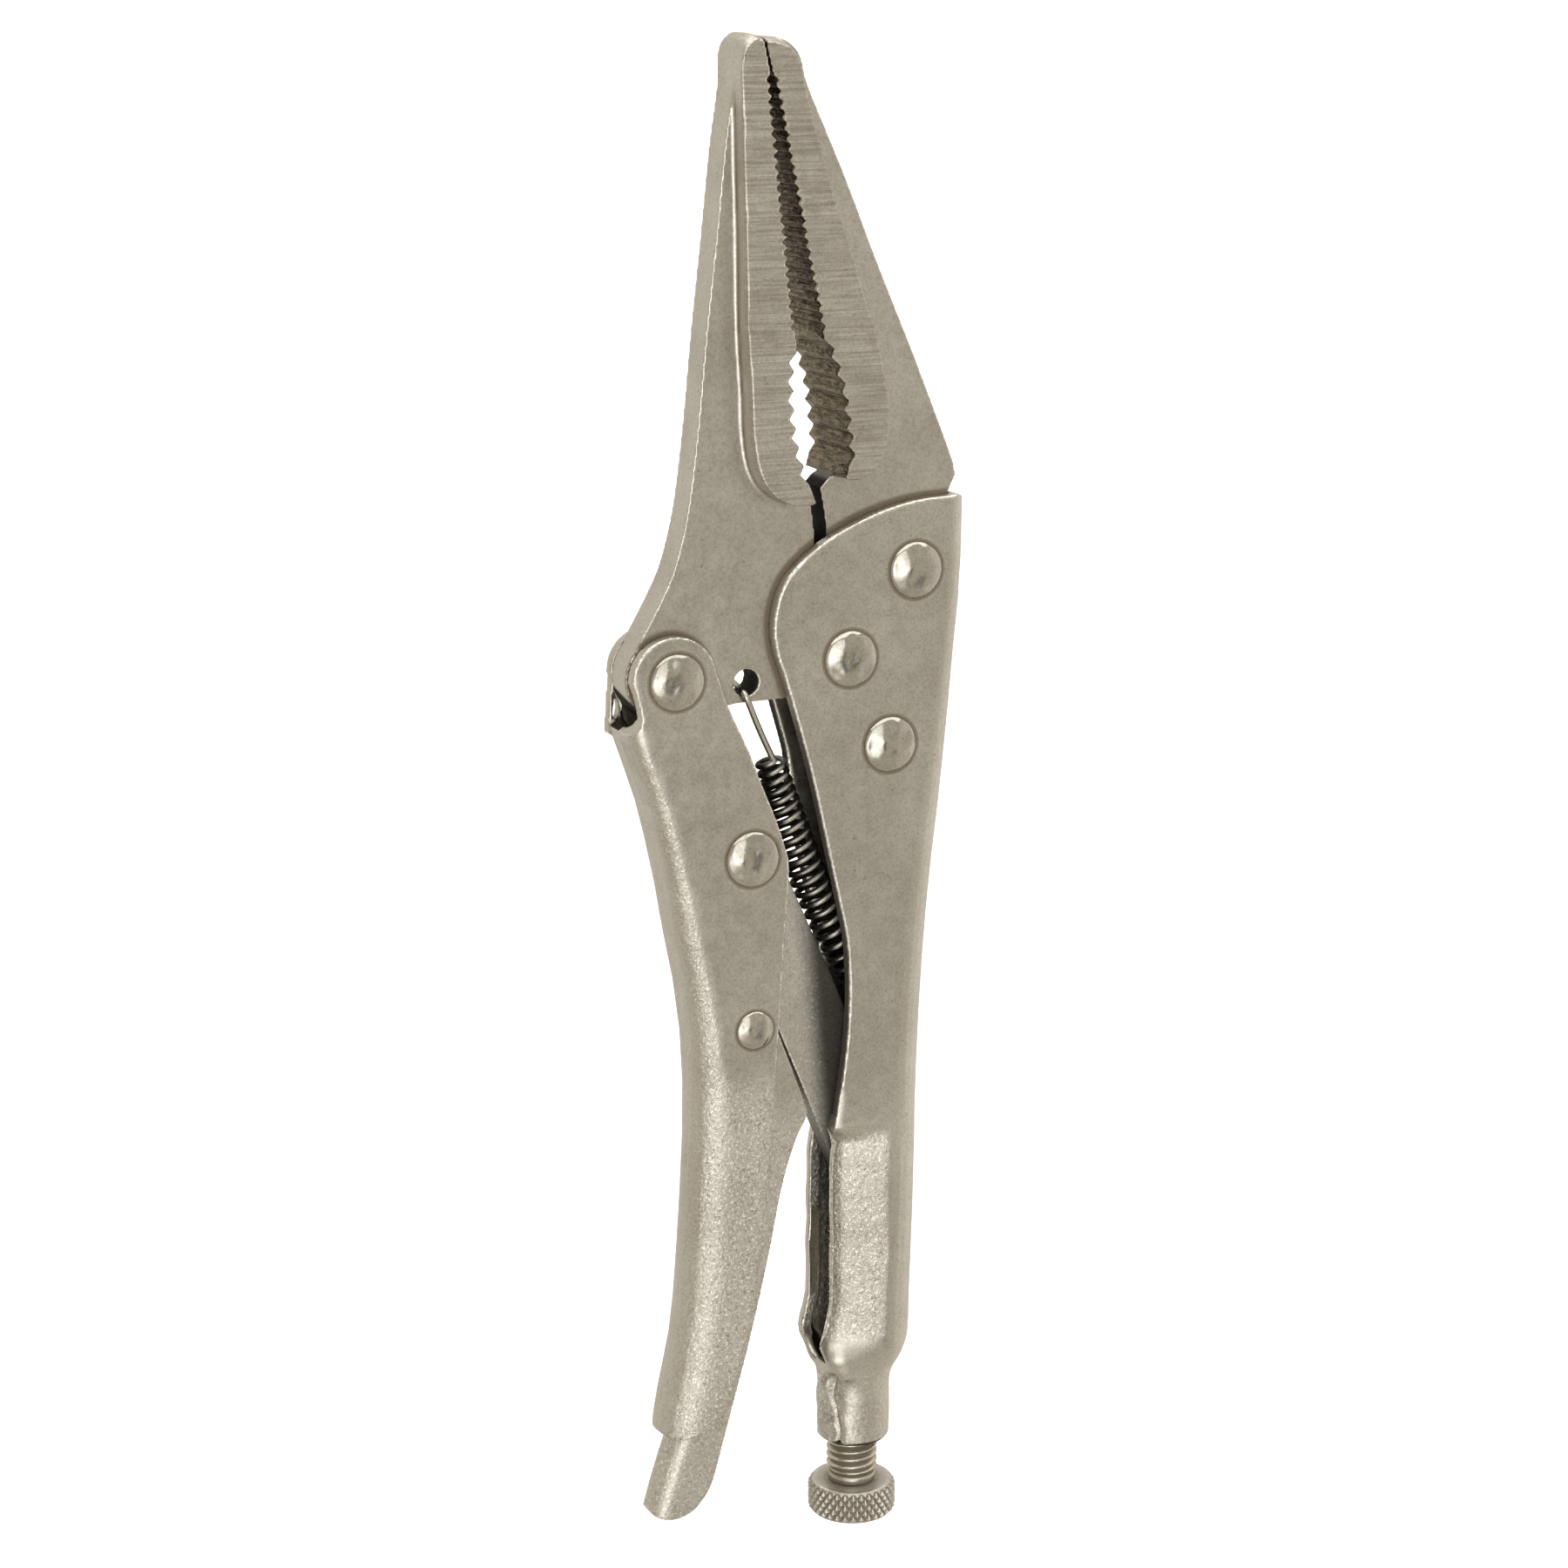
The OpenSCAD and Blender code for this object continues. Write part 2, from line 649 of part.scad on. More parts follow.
module wire(p, r) {
    rings = wire_rings(p, r);
    sides = 6;
    m = len(rings);
    faces = concat(
        [for (i = [0 : m - 2], k = [0 : sides - 1])
            each [
                [i * sides + k, (i + 1) * sides + (k + 1) % sides, i * sides + (k + 1) % sides],
                [i * sides + k, (i + 1) * sides + k, (i + 1) * sides + (k + 1) % sides]
            ]],
        [[for (k = [0 : sides - 1]) k], [for (k = [sides - 1 : -1 : 0]) (m - 1) * sides + k]]
    );
    polyhedron([for (ring = rings) each ring], faces, convexity = 10);
}

module return_spring() {
    color(dark_nickel) stand()
        wire(spring_path, wire_r);
}

// Rivets -------------------------------------------------------------------

module upper_jaw_front_rivet() {
    color(bright) stand()
        rivet(front_rivet, handle_half, rivet_r, head_r, head_h);
}

module upper_jaw_rear_rivet() {
    color(bright) stand()
        rivet(rear_rivet, handle_half, rivet_r, head_r, head_h);
}

module jaw_pivot_rivet() {
    color(bright) stand()
        rivet(jaw_pivot, handle_half, rivet_r, head_r, head_h);
}

module lever_pivot_rivet() {
    color(bright) stand()
        rivet(lever_pivot, lever_half, rivet_r, head_r, head_h);
}

module link_rivet() {
    color(bright) stand()
        rivet(link_pivot, lever_half, rivet_r, head_r, head_h);
}

module release_rivet() {
    color(bright) stand()
        rivet(release_pivot, lever_half, small_rivet_r, small_head_r, small_head_h);
}

fixed_handle();
upper_jaw();
lower_jaw();
lever_handle();
release_lever();
toggle_link();
adjusting_screw();
screw_knob();
return_spring();
upper_jaw_front_rivet();
upper_jaw_rear_rivet();
jaw_pivot_rivet();
lever_pivot_rivet();
link_rivet();
release_rivet();
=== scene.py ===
"""Long-nose locking pliers: the visible model and studio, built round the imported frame.

Places are given in millimetres from the jaw pivot, as in the part's own drawing: x runs
across the tool, y along it towards the jaw tips, and z through its thickness, towards the
near side. place() turns them into the frame's metres.
"""

import json
import math

import bmesh
import bpy
import numpy as np
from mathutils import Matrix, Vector
from mathutils.bvhtree import BVHTree


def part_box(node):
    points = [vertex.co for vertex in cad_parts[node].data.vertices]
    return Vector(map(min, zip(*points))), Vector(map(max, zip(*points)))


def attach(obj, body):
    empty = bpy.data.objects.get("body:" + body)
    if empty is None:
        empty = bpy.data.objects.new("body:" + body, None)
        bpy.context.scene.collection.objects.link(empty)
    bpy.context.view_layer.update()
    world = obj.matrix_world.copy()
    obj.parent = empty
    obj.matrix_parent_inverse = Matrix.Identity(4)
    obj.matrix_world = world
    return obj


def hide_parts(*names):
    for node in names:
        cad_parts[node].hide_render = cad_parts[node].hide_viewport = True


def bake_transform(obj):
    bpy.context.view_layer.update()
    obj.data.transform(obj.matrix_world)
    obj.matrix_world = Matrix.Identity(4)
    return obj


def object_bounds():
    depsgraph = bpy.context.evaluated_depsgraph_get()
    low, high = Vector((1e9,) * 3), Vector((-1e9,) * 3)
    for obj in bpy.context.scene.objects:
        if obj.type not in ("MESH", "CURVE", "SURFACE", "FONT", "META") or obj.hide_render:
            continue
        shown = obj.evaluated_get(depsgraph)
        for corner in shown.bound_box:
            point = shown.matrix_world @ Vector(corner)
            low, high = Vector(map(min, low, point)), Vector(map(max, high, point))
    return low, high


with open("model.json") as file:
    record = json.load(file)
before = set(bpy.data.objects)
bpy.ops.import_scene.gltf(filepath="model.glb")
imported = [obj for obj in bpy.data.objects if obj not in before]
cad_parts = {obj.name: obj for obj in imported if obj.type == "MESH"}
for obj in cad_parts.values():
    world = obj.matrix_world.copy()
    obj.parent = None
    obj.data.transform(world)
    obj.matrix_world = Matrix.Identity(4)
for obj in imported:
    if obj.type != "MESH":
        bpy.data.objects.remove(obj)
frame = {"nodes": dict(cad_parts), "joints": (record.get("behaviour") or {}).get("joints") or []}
cad_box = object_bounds()

MM = 0.001
JOINTS = {j["name"]: j for j in frame["joints"]}
PIVOT = Vector(JOINTS["jaw_open"]["pos_m"])


# Places ----------------------------------------------------------------------


def place(x, y, z=0.0):
    """A point in the frame, from millimetres about the jaw pivot."""
    return PIVOT + Vector((x, -z, y)) * MM


def drawn(points):
    """An array of frame points as x, y and z columns in millimetres about the jaw pivot."""
    p = (np.asarray(points, float) - np.array(PIVOT)) / MM
    return np.column_stack([p[:, 0], p[:, 2], -p[:, 1]])


def undrawn(points):
    """The opposite of drawn()."""
    p = np.asarray(points, float)
    return np.column_stack([p[:, 0], -p[:, 2], p[:, 1]]) * MM + np.array(PIVOT)


def middle_of(node):
    """The middle of a CAD node's box, as x and y in millimetres about the jaw pivot."""
    low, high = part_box(node)
    at = drawn([(low + high) / 2])[0]
    return at[0], at[1]


def smooth_step(low, high, value):
    """0 below low, 1 above high, and a smooth rise between them."""
    t = np.clip((value - low) / (high - low), 0, 1)
    return t * t * (3 - 2 * t)


def ripple(at, size, seed, waves=14):
    """Smooth noise between about -1 and 1, with features of a size in millimetres."""
    rng = np.random.default_rng(seed)
    ways = rng.normal(size=(waves, 3))
    ways *= (math.tau / size / np.linalg.norm(ways, axis=1) * rng.uniform(0.6, 1.4, waves))[:, None]
    return np.sin(at @ ways.T + rng.uniform(0, math.tau, waves)).sum(1) / math.sqrt(waves)


# Meshes ----------------------------------------------------------------------


def new_object(name, verts, faces):
    """A smooth-shaded mesh object from frame points and faces."""
    mesh = bpy.data.meshes.new(name)
    mesh.from_pydata([tuple(v) for v in verts], [], [tuple(f) for f in faces])
    mesh.update()
    mesh.shade_smooth()
    obj = bpy.data.objects.new(name, mesh)
    bpy.context.scene.collection.objects.link(obj)
    return obj


def points_of(obj):
    """A mesh's points as an array."""
    co = np.empty(len(obj.data.vertices) * 3)
    obj.data.vertices.foreach_get("co", co)
    return co.reshape(-1, 3)


def set_points(obj, points):
    """Writes a mesh's points."""
    obj.data.vertices.foreach_set("co", np.asarray(points).ravel())
    obj.data.update()


def edges_of(obj):
    """A mesh's edges as an array of index pairs."""
    index = np.empty(len(obj.data.edges) * 2, int)
    obj.data.edges.foreach_get("vertices", index)
    return index.reshape(-1, 2)


def normals_of(obj):
    """A mesh's point normals as an array."""
    normals = np.empty(len(obj.data.vertices) * 3)
    obj.data.vertex_normals.foreach_get("vector", normals)
    return normals.reshape(-1, 3)


def neighbour_mean(values, edges, count):
    """The mean of each point's neighbours."""
    values = values.reshape(count, -1)
    degree = np.bincount(edges.ravel(), minlength=count)
    out = np.empty_like(values)
    for k in range(values.shape[1]):
        column = values[:, k]
        out[:, k] = np.bincount(edges[:, 0], column[edges[:, 1]], count)
        out[:, k] += np.bincount(edges[:, 1], column[edges[:, 0]], count)
    return out / np.maximum(degree, 1)[:, None]


def relax(obj, passes, pull=0.5, push=-0.53):
    """Smooths a mesh without shrinking it: each pass pulls in and then pushes back out."""
    points, edges = points_of(obj), edges_of(obj)
    for _ in range(passes):
        for step in (pull, push):
            points += step * (neighbour_mean(points, edges, len(points)) - points)
    set_points(obj, points)


def spread(values, edges, passes):
    """Blurs a value over a mesh."""
    for _ in range(passes):
        values = 0.5 * values + 0.5 * neighbour_mean(values, edges, len(values))[:, 0]
    return values


def set_value(obj, name, values):
    """Stores a value at each point for the materials."""
    layer = obj.data.attributes.get(name) or obj.data.attributes.new(name, "FLOAT", "POINT")
    layer.data.foreach_set("value", np.asarray(values, np.float32))


def edge_marks(obj, wear_passes=2, grime_passes=8):
    """Stores how far each point is an outer edge bright with wear, or an inner corner darkened by dirt
    and painted shade.
    """
    points, edges, normals = points_of(obj), edges_of(obj), normals_of(obj)
    offset = neighbour_mean(points, edges, len(points)) - points
    length = np.linalg.norm(points[edges[:, 0]] - points[edges[:, 1]], axis=1).mean()
    bend = (offset * normals).sum(1) / length
    wear_and_highlight = spread(np.clip(-bend * 5 - 0.25, 0, 1), edges, wear_passes)
    dirt_and_painted_shade = spread(np.clip(bend * 6 - 0.2, 0, 1), edges, grime_passes)
    set_value(obj, "wear_and_highlight", np.clip(wear_and_highlight * 1.6, 0, 1))
    set_value(obj, "dirt_and_painted_shade", np.clip(dirt_and_painted_shade * 2.2, 0, 1))


def shift(obj, amount_mm):
    """Moves each point out along its normal, by millimetres."""
    set_points(obj, points_of(obj) + normals_of(obj) * np.asarray(amount_mm)[:, None] * MM)


def pebble(obj, amount_mm, seed=5):
    """Presses the fine uneven grain of formed metal into a mesh, deeper where amount is larger."""
    edges = edges_of(obj)
    bumps = np.random.default_rng(seed).normal(size=len(obj.data.vertices))
    shift(obj, (0.6 * bumps + 0.4 * neighbour_mean(bumps, edges, len(bumps))[:, 0]) * amount_mm)


def ring_faces(rings, segments):
    """Quads between closed rings of points."""
    return [
        (
            k * segments + i,
            k * segments + (i + 1) % segments,
            (k + 1) * segments + (i + 1) % segments,
            (k + 1) * segments + i,
        )
        for k in range(rings - 1)
        for i in range(segments)
    ]


def turned(name, rings, segments, to_frame):
    """A closed turned piece, from rings of radius and height; a radius may vary round its ring."""
    angles = np.arange(segments) * math.tau / segments
    points = []
    for radius, height in rings:
        points += list(to_frame(radius * np.cos(angles), radius * np.sin(angles), height))
    faces = ring_faces(len(rings), segments)
    for ring, height in ((0, rings[0][1]), (len(rings) - 1, rings[-1][1])):
        points += list(to_frame(np.zeros(1), np.zeros(1), height))
        first = ring * segments
        faces += [
            (first + i, first + (i + 1) % segments, len(points) - 1) for i in range(segments)
        ]
    obj = new_object(name, points, faces)
    outward = bmesh.new()
    outward.from_mesh(obj.data)
    bmesh.ops.recalc_face_normals(outward, faces=outward.faces)
    outward.to_mesh(obj.data)
    outward.free()
    return obj


def prism(outline, low, high):
    """Points and faces of an outline in the plane of the plates, between two depths."""
    count = len(outline)
    points = [tuple(place(x, y, z)) for z in (low, high) for x, y in outline]
    faces = [tuple(range(count)), tuple(range(2 * count - 1, count - 1, -1))]
    faces += [(k, k + count, (k + 1) % count + count, (k + 1) % count) for k in range(count)]
    return points, faces


def solid_copy(node, voxel, passes=3, extras=()):
    """A CAD node's solid as a new, evenly meshed piece, with its edges broken and extras fused on."""
    source = frame["nodes"][node]
    piece = bpy.data.objects.new(node + "_body", source.data.copy())
    bpy.context.scene.collection.objects.link(piece)
    welded = bmesh.new()
    welded.from_mesh(piece.data)
    for points, faces in extras:
        corners = [welded.verts.new(p) for p in points]
        made = [welded.faces.new([corners[k] for k in face]) for face in faces]
        bmesh.ops.recalc_face_normals(welded, faces=made)
    bmesh.ops.remove_doubles(welded, verts=welded.verts, dist=0.002 * MM)
    welded.to_mesh(piece.data)
    welded.free()
    remesh = piece.modifiers.new("even", "REMESH")
    remesh.mode = "VOXEL"
    remesh.voxel_size = voxel * MM
    graph = bpy.context.evaluated_depsgraph_get()
    mesh = bpy.data.meshes.new_from_object(piece.evaluated_get(graph))
    piece.modifiers.clear()
    piece.data = mesh
    mesh.materials.clear()
    mesh.shade_smooth()
    relax(piece, passes)
    return piece


def stand_in(piece, body, *nodes, slot=None):
    """Rides a piece on a body in place of its CAD nodes."""
    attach(piece, body)
    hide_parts(*nodes)
    return piece


# Materials -------------------------------------------------------------------


class Shader:
    """A small builder for one procedural material."""

    def __init__(self, name):
        self.material = bpy.data.materials.new(name)
        self.material.use_nodes = True
        self.nodes = self.material.node_tree.nodes
        self.links = self.material.node_tree.links
        self.surface = self.nodes["Principled BSDF"]
        self.surface.inputs["Metallic"].default_value = 1.0
        self.surface.inputs["Specular IOR Level"].default_value = 0.08
        where = self.nodes.new("ShaderNodeTexCoord")
        scale = self.nodes.new("ShaderNodeMapping")
        scale.inputs["Scale"].default_value = (1000, 1000, 1000)
        self.link(where.outputs["Object"], scale.inputs["Vector"])
        self.millimetres = scale.outputs["Vector"]

    def link(self, a, b):
        """Links an output to an input."""
        self.links.new(a, b)

    def set_socket(self, socket, value):
        """Links a socket, or sets its number."""
        if isinstance(value, bpy.types.NodeSocket):
            self.link(value, socket)
        else:
            socket.default_value = value

    def noise(self, per_mm, detail=2.0, rough=0.55, stretch=(1, 1, 1), tilt=0.0):
        """Noise of so many features to a millimetre, squeezed along the tilted frame's axes."""
        mapping = self.nodes.new("ShaderNodeMapping")
        mapping.inputs["Rotation"].default_value = (0, tilt, 0)
        mapping.inputs["Scale"].default_value = stretch
        self.link(self.millimetres, mapping.inputs["Vector"])
        node = self.nodes.new("ShaderNodeTexNoise")
        node.inputs["Scale"].default_value = per_mm
        node.inputs["Detail"].default_value = detail
        node.inputs["Roughness"].default_value = rough
        self.link(mapping.outputs["Vector"], node.inputs["Vector"])
        return node.outputs["Fac"]

    def value(self, name):
        """A value stored at the mesh's points."""
        node = self.nodes.new("ShaderNodeAttribute")
        node.attribute_name = name
        return node.outputs["Fac"]

    def ramp(self, fac, low, high, out_low=0.0, out_high=1.0):
        """Maps low..high to out_low..out_high with smooth ends."""
        node = self.nodes.new("ShaderNodeMapRange")
        node.interpolation_type = "SMOOTHSTEP"
        self.link(fac, node.inputs["Value"])
        node.inputs["From Min"].default_value = low
        node.inputs["From Max"].default_value = high
        node.inputs["To Min"].default_value = out_low
        node.inputs["To Max"].default_value = out_high
        return node.outputs["Result"]

    def maths(self, operation, *values):
        """One sum on two or three values."""
        node = self.nodes.new("ShaderNodeMath")
        node.operation = operation
        for socket, value in zip(node.inputs, values):
            self.set_socket(socket, value)
        return node.outputs["Value"]

    def mix(self, fac, a, b):
        """Mixes two colours."""
        node = self.nodes.new("ShaderNodeMix")
        node.data_type = "RGBA"
        self.set_socket(node.inputs["Factor"], fac)
        for socket, colour in ((node.inputs["A"], a), (node.inputs["B"], b)):
            self.set_socket(socket, (*colour, 1) if isinstance(colour, tuple) else colour)
        return node.outputs["Result"]

    def bump(self, height, depth_mm, after=None):
        """Relief of a depth in millimetres, on top of another relief."""
        node = self.nodes.new("ShaderNodeBump")
        node.inputs["Distance"].default_value = depth_mm * MM
        node.inputs["Strength"].default_value = 1.0
        self.link(height, node.inputs["Height"])
        if after:
            self.link(after, node.inputs["Normal"])
        return node.outputs["Normal"]

    def finish(self, colour, roughness, normal):
        """Links the surface's last three sockets, and returns the material."""
        self.set_socket(self.surface.inputs["Base Color"], colour)
        self.set_socket(self.surface.inputs["Roughness"], roughness)
        self.link(normal, self.surface.inputs["Normal"])
        return self.material


NICKEL = (0.50, 0.478, 0.428)
NICKEL_LIGHT = (0.56, 0.54, 0.49)
POLISHED = (0.57, 0.56, 0.53)
RIVET = (0.42, 0.408, 0.368)
BRASSY = (0.45, 0.405, 0.32)
# Near white for edges bright with wear, also used for painted glints and a painted highlight line
WORN_AND_HIGHLIGHT = (0.88, 0.87, 0.83)
# Dark brown for dirt, mottle, specks, pits and grinding streaks, and for painted shade in corners and
# against other parts
GRIME_AND_PAINTED_SHADE = (0.12, 0.088, 0.052)
# Browns of the teeth's faces, partly stain and partly painted shade
MOUTH = (0.080, 0.061, 0.037)
MOUTH_LIGHT = (0.20, 0.162, 0.105)
# Near black, for the black flecks of the teeth's stain and for painted shade in shaded places
SOOT_AND_PAINTED_SHADE = (0.011, 0.009, 0.006)


def plating(s, base, light):
    """Cloudy plating with a fine mottle, a few dark specks, and corners darkened by dirt and painted
    shade, as a colour.
    """
    cloud = s.ramp(s.noise(0.09, 3.0), 0.35, 0.65)
    colour = s.mix(cloud, base, light)
    mottle = s.noise(2.6, 2.0, 0.7)
    colour = s.mix(s.ramp(mottle, 0.35, 0.75, 0.0, 0.30), colour, GRIME_AND_PAINTED_SHADE)
    speck = s.ramp(s.noise(1.1, 1.0), 0.72, 0.78)
    colour = s.mix(s.maths("MULTIPLY", speck, 0.35), colour, GRIME_AND_PAINTED_SHADE)
    # Painted shade and dirt: corners and places against other parts are darkened.
    return s.mix(s.maths("MULTIPLY", s.value("dirt_and_painted_shade"), 0.85), colour, GRIME_AND_PAINTED_SHADE)


def formed_grain(s, colour, formed):
    """Adds the dark pits of formed metal, and painted glints as bright points, to a colour."""
    pits = s.ramp(s.noise(1.5, 2.0, 0.8), 0.44, 0.34, 0.0, 0.45)
    colour = s.mix(s.maths("MULTIPLY", formed, pits), colour, GRIME_AND_PAINTED_SHADE)
    # Painted glints: bright points of colour that stand in for the sparkle of light on formed metal.
    glints = s.ramp(s.noise(2.2, 2.0, 0.8), 0.565, 0.64, 0.0, 0.9)
    return s.mix(s.maths("MULTIPLY", formed, glints), colour, WORN_AND_HIGHLIGHT)


def mouth_stain_and_shade(s, colour, mouth, ridges):
    """Adds the brown, black-flecked colour of the jaws' teeth, partly stain and partly painted shade,
    to a colour.
    """
    brown = s.mix(s.ramp(ridges, 0.38, 0.62), MOUTH, MOUTH_LIGHT)
    brown = s.mix(s.ramp(s.noise(0.9, 3.0, 0.7), 0.60, 0.66), brown, SOOT_AND_PAINTED_SHADE)
    return s.mix(mouth, colour, brown)


def metal(name, base, light, rough=0.33, relief=0.014, pads=False, scratches=0.0):
    """Plated steel: cloudy tone, fine grain, edges bright with wear, painted glints, and brown or black
    dirt and painted shade in corners and shaded places.
    """
    s = Shader(name)
    colour = plating(s, base, light)
    chips = s.ramp(s.noise(1.9, 3.0, 0.75), 0.44, 0.58)
    # Edges bright with wear, and painted highlight lines, in chipped patches.
    wear_and_highlight = s.ramp(s.maths("MULTIPLY", s.value("wear_and_highlight"), chips), 0.15, 0.75)
    colour = s.mix(wear_and_highlight, colour, WORN_AND_HIGHLIGHT)
    formed, mouth = s.value("formed"), s.value("mouth")
    colour = formed_grain(s, colour, formed)
    ridges = s.noise(1.9, 2.0, 0.6, stretch=(1.0, 0.2, 1.0))
    colour = mouth_stain_and_shade(s, colour, mouth, ridges)
    # Painted shade: shaded places are darkened nearly to black; they and corners darkened by dirt are
    # made less metallic and rougher.
    colour = s.mix(s.value("inside"), colour, SOOT_AND_PAINTED_SHADE)
    painted_shade_and_dirt = s.maths("MAXIMUM", s.value("inside"), s.maths("MULTIPLY", s.value("dirt_and_painted_shade"), 0.6))
    s.link(s.maths("SUBTRACT", 1.0, painted_shade_and_dirt), s.surface.inputs["Metallic"])
    normal = s.bump(s.noise(3.2, 2.0, 0.7), relief)
    coarse = s.maths("MULTIPLY", formed, s.noise(2.2, 3.0, 0.75))
    normal = s.bump(coarse, 0.14, normal)
    if pads:
        ground = s.value("ground")
        streak = s.noise(1.0, 3.0, 0.65, stretch=(0.07, 0.3, 2.3), tilt=-0.10)
        normal = s.bump(s.maths("MULTIPLY", ground, streak), 0.11, normal)
        shade = s.maths("MULTIPLY", ground, s.ramp(streak, 0.38, 0.66, 0.0, 0.36))
        colour = s.mix(shade, colour, GRIME_AND_PAINTED_SHADE)
        normal = s.bump(s.maths("MULTIPLY", mouth, ridges), 0.35, normal)
    if scratches:
        fine = s.noise(1.2, 3.0, 0.6, stretch=(3.0, 1.0, 0.5), tilt=0.7)
        normal = s.bump(fine, scratches, normal)
    roughness = s.ramp(s.noise(0.5, 3.0), 0.3, 0.7, rough - 0.04, rough + 0.05)
    roughness = s.maths("SUBTRACT", roughness, s.maths("MULTIPLY", wear_and_highlight, 0.1))
    roughness = s.maths("MULTIPLY_ADD", painted_shade_and_dirt, 0.3, roughness)
    roughness = s.maths("MULTIPLY_ADD", formed, 0.05, roughness)
    return s.finish(colour, roughness, normal)


# Marks -----------------------------------------------------------------------


HEADS = {
    "upper_jaw_front_rivet": "frame",
    "upper_jaw_rear_rivet": "frame",
    "jaw_pivot_rivet": "frame",
    "lever_pivot_rivet": "lever",
    "link_rivet": "lever",
    "release_rivet": "lever",
}


def head_radius(node):
    """The radius of a rivet's head."""
    low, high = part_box(node)
    return (high[0] - low[0]) / 2 / MM


def contact(obj, nodes, reach=1.0):
    """How near each point is to other CAD nodes: 1 at a touch, and 0 beyond a reach in millimetres."""
    points = points_of(obj)
    gap = np.full(len(points), reach)
    for node in nodes:
        mesh = frame["nodes"][node].data
        mesh.calc_loop_triangles()
        corners = [v.co for v in mesh.vertices]
        tree = BVHTree.FromPolygons(corners, [tuple(t.vertices) for t in mesh.loop_triangles])
        for k, point in enumerate(points):
            found = tree.find_nearest(Vector(point), reach * MM)[3]
            if found is not None:
                gap[k] = min(gap[k], found / MM)
    return smooth_step(reach, 0.1, gap)


def value_of(obj, name):
    """A value stored at each point."""
    values = np.empty(len(obj.data.vertices), np.float32)
    obj.data.attributes[name].data.foreach_get("value", values)
    return values


def add_dirt_and_shade(obj, amount):
    """Adds to a mesh's darkening by dirt and painted shade."""
    set_value(obj, "dirt_and_painted_shade", np.clip(value_of(obj, "dirt_and_painted_shade") + amount, 0, 1))


def spare(obj, kept):
    """Scales a mesh's edge wear and painted highlights."""
    set_value(obj, "wear_and_highlight", value_of(obj, "wear_and_highlight") * kept)


def round_end(piece, end, reach, lift, half, near_share=1.0):
    """Rounds a piece's end: its near and far corners, half a thickness out, move along the tool.

    They move by lift at end, and by nothing at reach above it. Both are negative for a top end.
    """
    at = drawn(points_of(piece))
    corner = (np.abs(at[:, 2]) / half) ** 4 * np.where(at[:, 2] > 0, near_share, 1.0)
    at[:, 1] += lift * corner * smooth_step(end + reach, end, at[:, 1])
    set_points(piece, undrawn(at))


# Formed sheet and forged pieces ----------------------------------------------

# The spring's hole in the lower jaw, the reach of the painted shade on its wall, and where the mouth
# ends
SPRING_HOLE = (-15.8, -2.7)
HOLE_REACH = 2.3
MOUTH_FOOT = 27
# Half the room between the legs of each channel
HANDLE_INNER = 3.0
LEVER_INNER = 3.4
# The fixed handle's closed part and its neck, along the tool, and the neck's radius
TUBE_TOP = -71
TUBE_FOOT = -111
NECK_TOP = -113.6
NECK_RADIUS = 5.95
# How far the closed part's front is rolled in at its left edge, and how far right that reaches
NEAR_PRESS = 3.2
FAR_PRESS = 0.5
PRESS_BORDER = 6.8
PRESS_WIDTH = 11
# The least radius round the screw's axis, and depth beside the link, that stay free
SCREW_ROOM = 4.15
LINK_ROOM = 2.5
# The far leg of the fixed handle is wider by this much behind the spring
FAR_LEG_EXTRA = 1.4
# The stamped mark across the lever's near side
CREASE = (-15.1, -78)
CREASE_DEPTH = 0.12
# How fine each piece is meshed, and how deep the grain of formed sheet is
SHEET_MESH = 0.27
JAW_MESH = 0.24
LINK_MESH = 0.25
THIN_SHEET_MESH = 0.2
SHEET_GRAIN = 0.034
THIN_SHEET_GRAIN = 0.018
LINK_GRAIN = 0.012


def screw_middle():
    """Where the screw's axis lies across the tool."""
    return middle_of("adjusting_screw")[0]


def clear_screw(at, along):
    """Moves points off the screw's axis until it has its room, where along is above 0."""
    x = at[:, 0] - screw_middle()
    stretch = np.maximum(SCREW_ROOM / np.maximum(np.hypot(x, at[:, 2]), 1.0), 1.0)
    stretch = 1 + (stretch - 1) * (along > 0)
    at[:, 0] += x * (stretch - 1)
    at[:, 2] *= stretch


def press_tube(piece):
    """Rolls in the closed part's left front, more on the near side, and waves the slot's edges.

    Returns how much each point is part of the formed outside.
    """
    at, normals = drawn(points_of(piece)), normals_of(piece)
    along = smooth_step(TUBE_TOP - 1.5, TUBE_TOP - 5, at[:, 1])
    along *= smooth_step(TUBE_FOOT, TUBE_FOOT + 5, at[:, 1])
    border = PRESS_BORDER + 0.3 * ripple(at * (0.1, 1, 0.1), 6, 3)
    left = np.clip((border - at[:, 0]) / PRESS_WIDTH, 0, 1)
    near = at[:, 2] > 0
    side = np.sign(at[:, 2]) * smooth_step(1.5, 3.0, np.abs(at[:, 2]))
    press = along * left**1.2 * np.where(near, NEAR_PRESS, FAR_PRESS)
    nearest = np.minimum(at[:, 2], LINK_ROOM)
    at[:, 2] -= side * press
    at[:, 2] = np.where(near, np.maximum(at[:, 2], nearest), at[:, 2])
    at[:, 0] += np.where(near, 0.45, 0.2) * press * np.abs(side)
    clear_screw(at, along)
    lip = along * smooth_step(0.5, -2.0, at[:, 0])
    at[:, 0] += lip * 0.12 * ripple(at * (0.2, 1, 0.2), 7, 4)
    set_points(piece, undrawn(at))
    return along * smooth_step(0.0, 0.10, left) * (normals[:, 2] * at[:, 2] > 0)


def melt(piece, weight, passes):
    """Smooths part of a mesh until its creases are gone."""
    edges = edges_of(piece)
    for _ in range(passes):
        points = points_of(piece)
        pull = neighbour_mean(points, edges, len(points)) - points
        set_points(piece, points + 0.7 * weight[:, None] * pull)


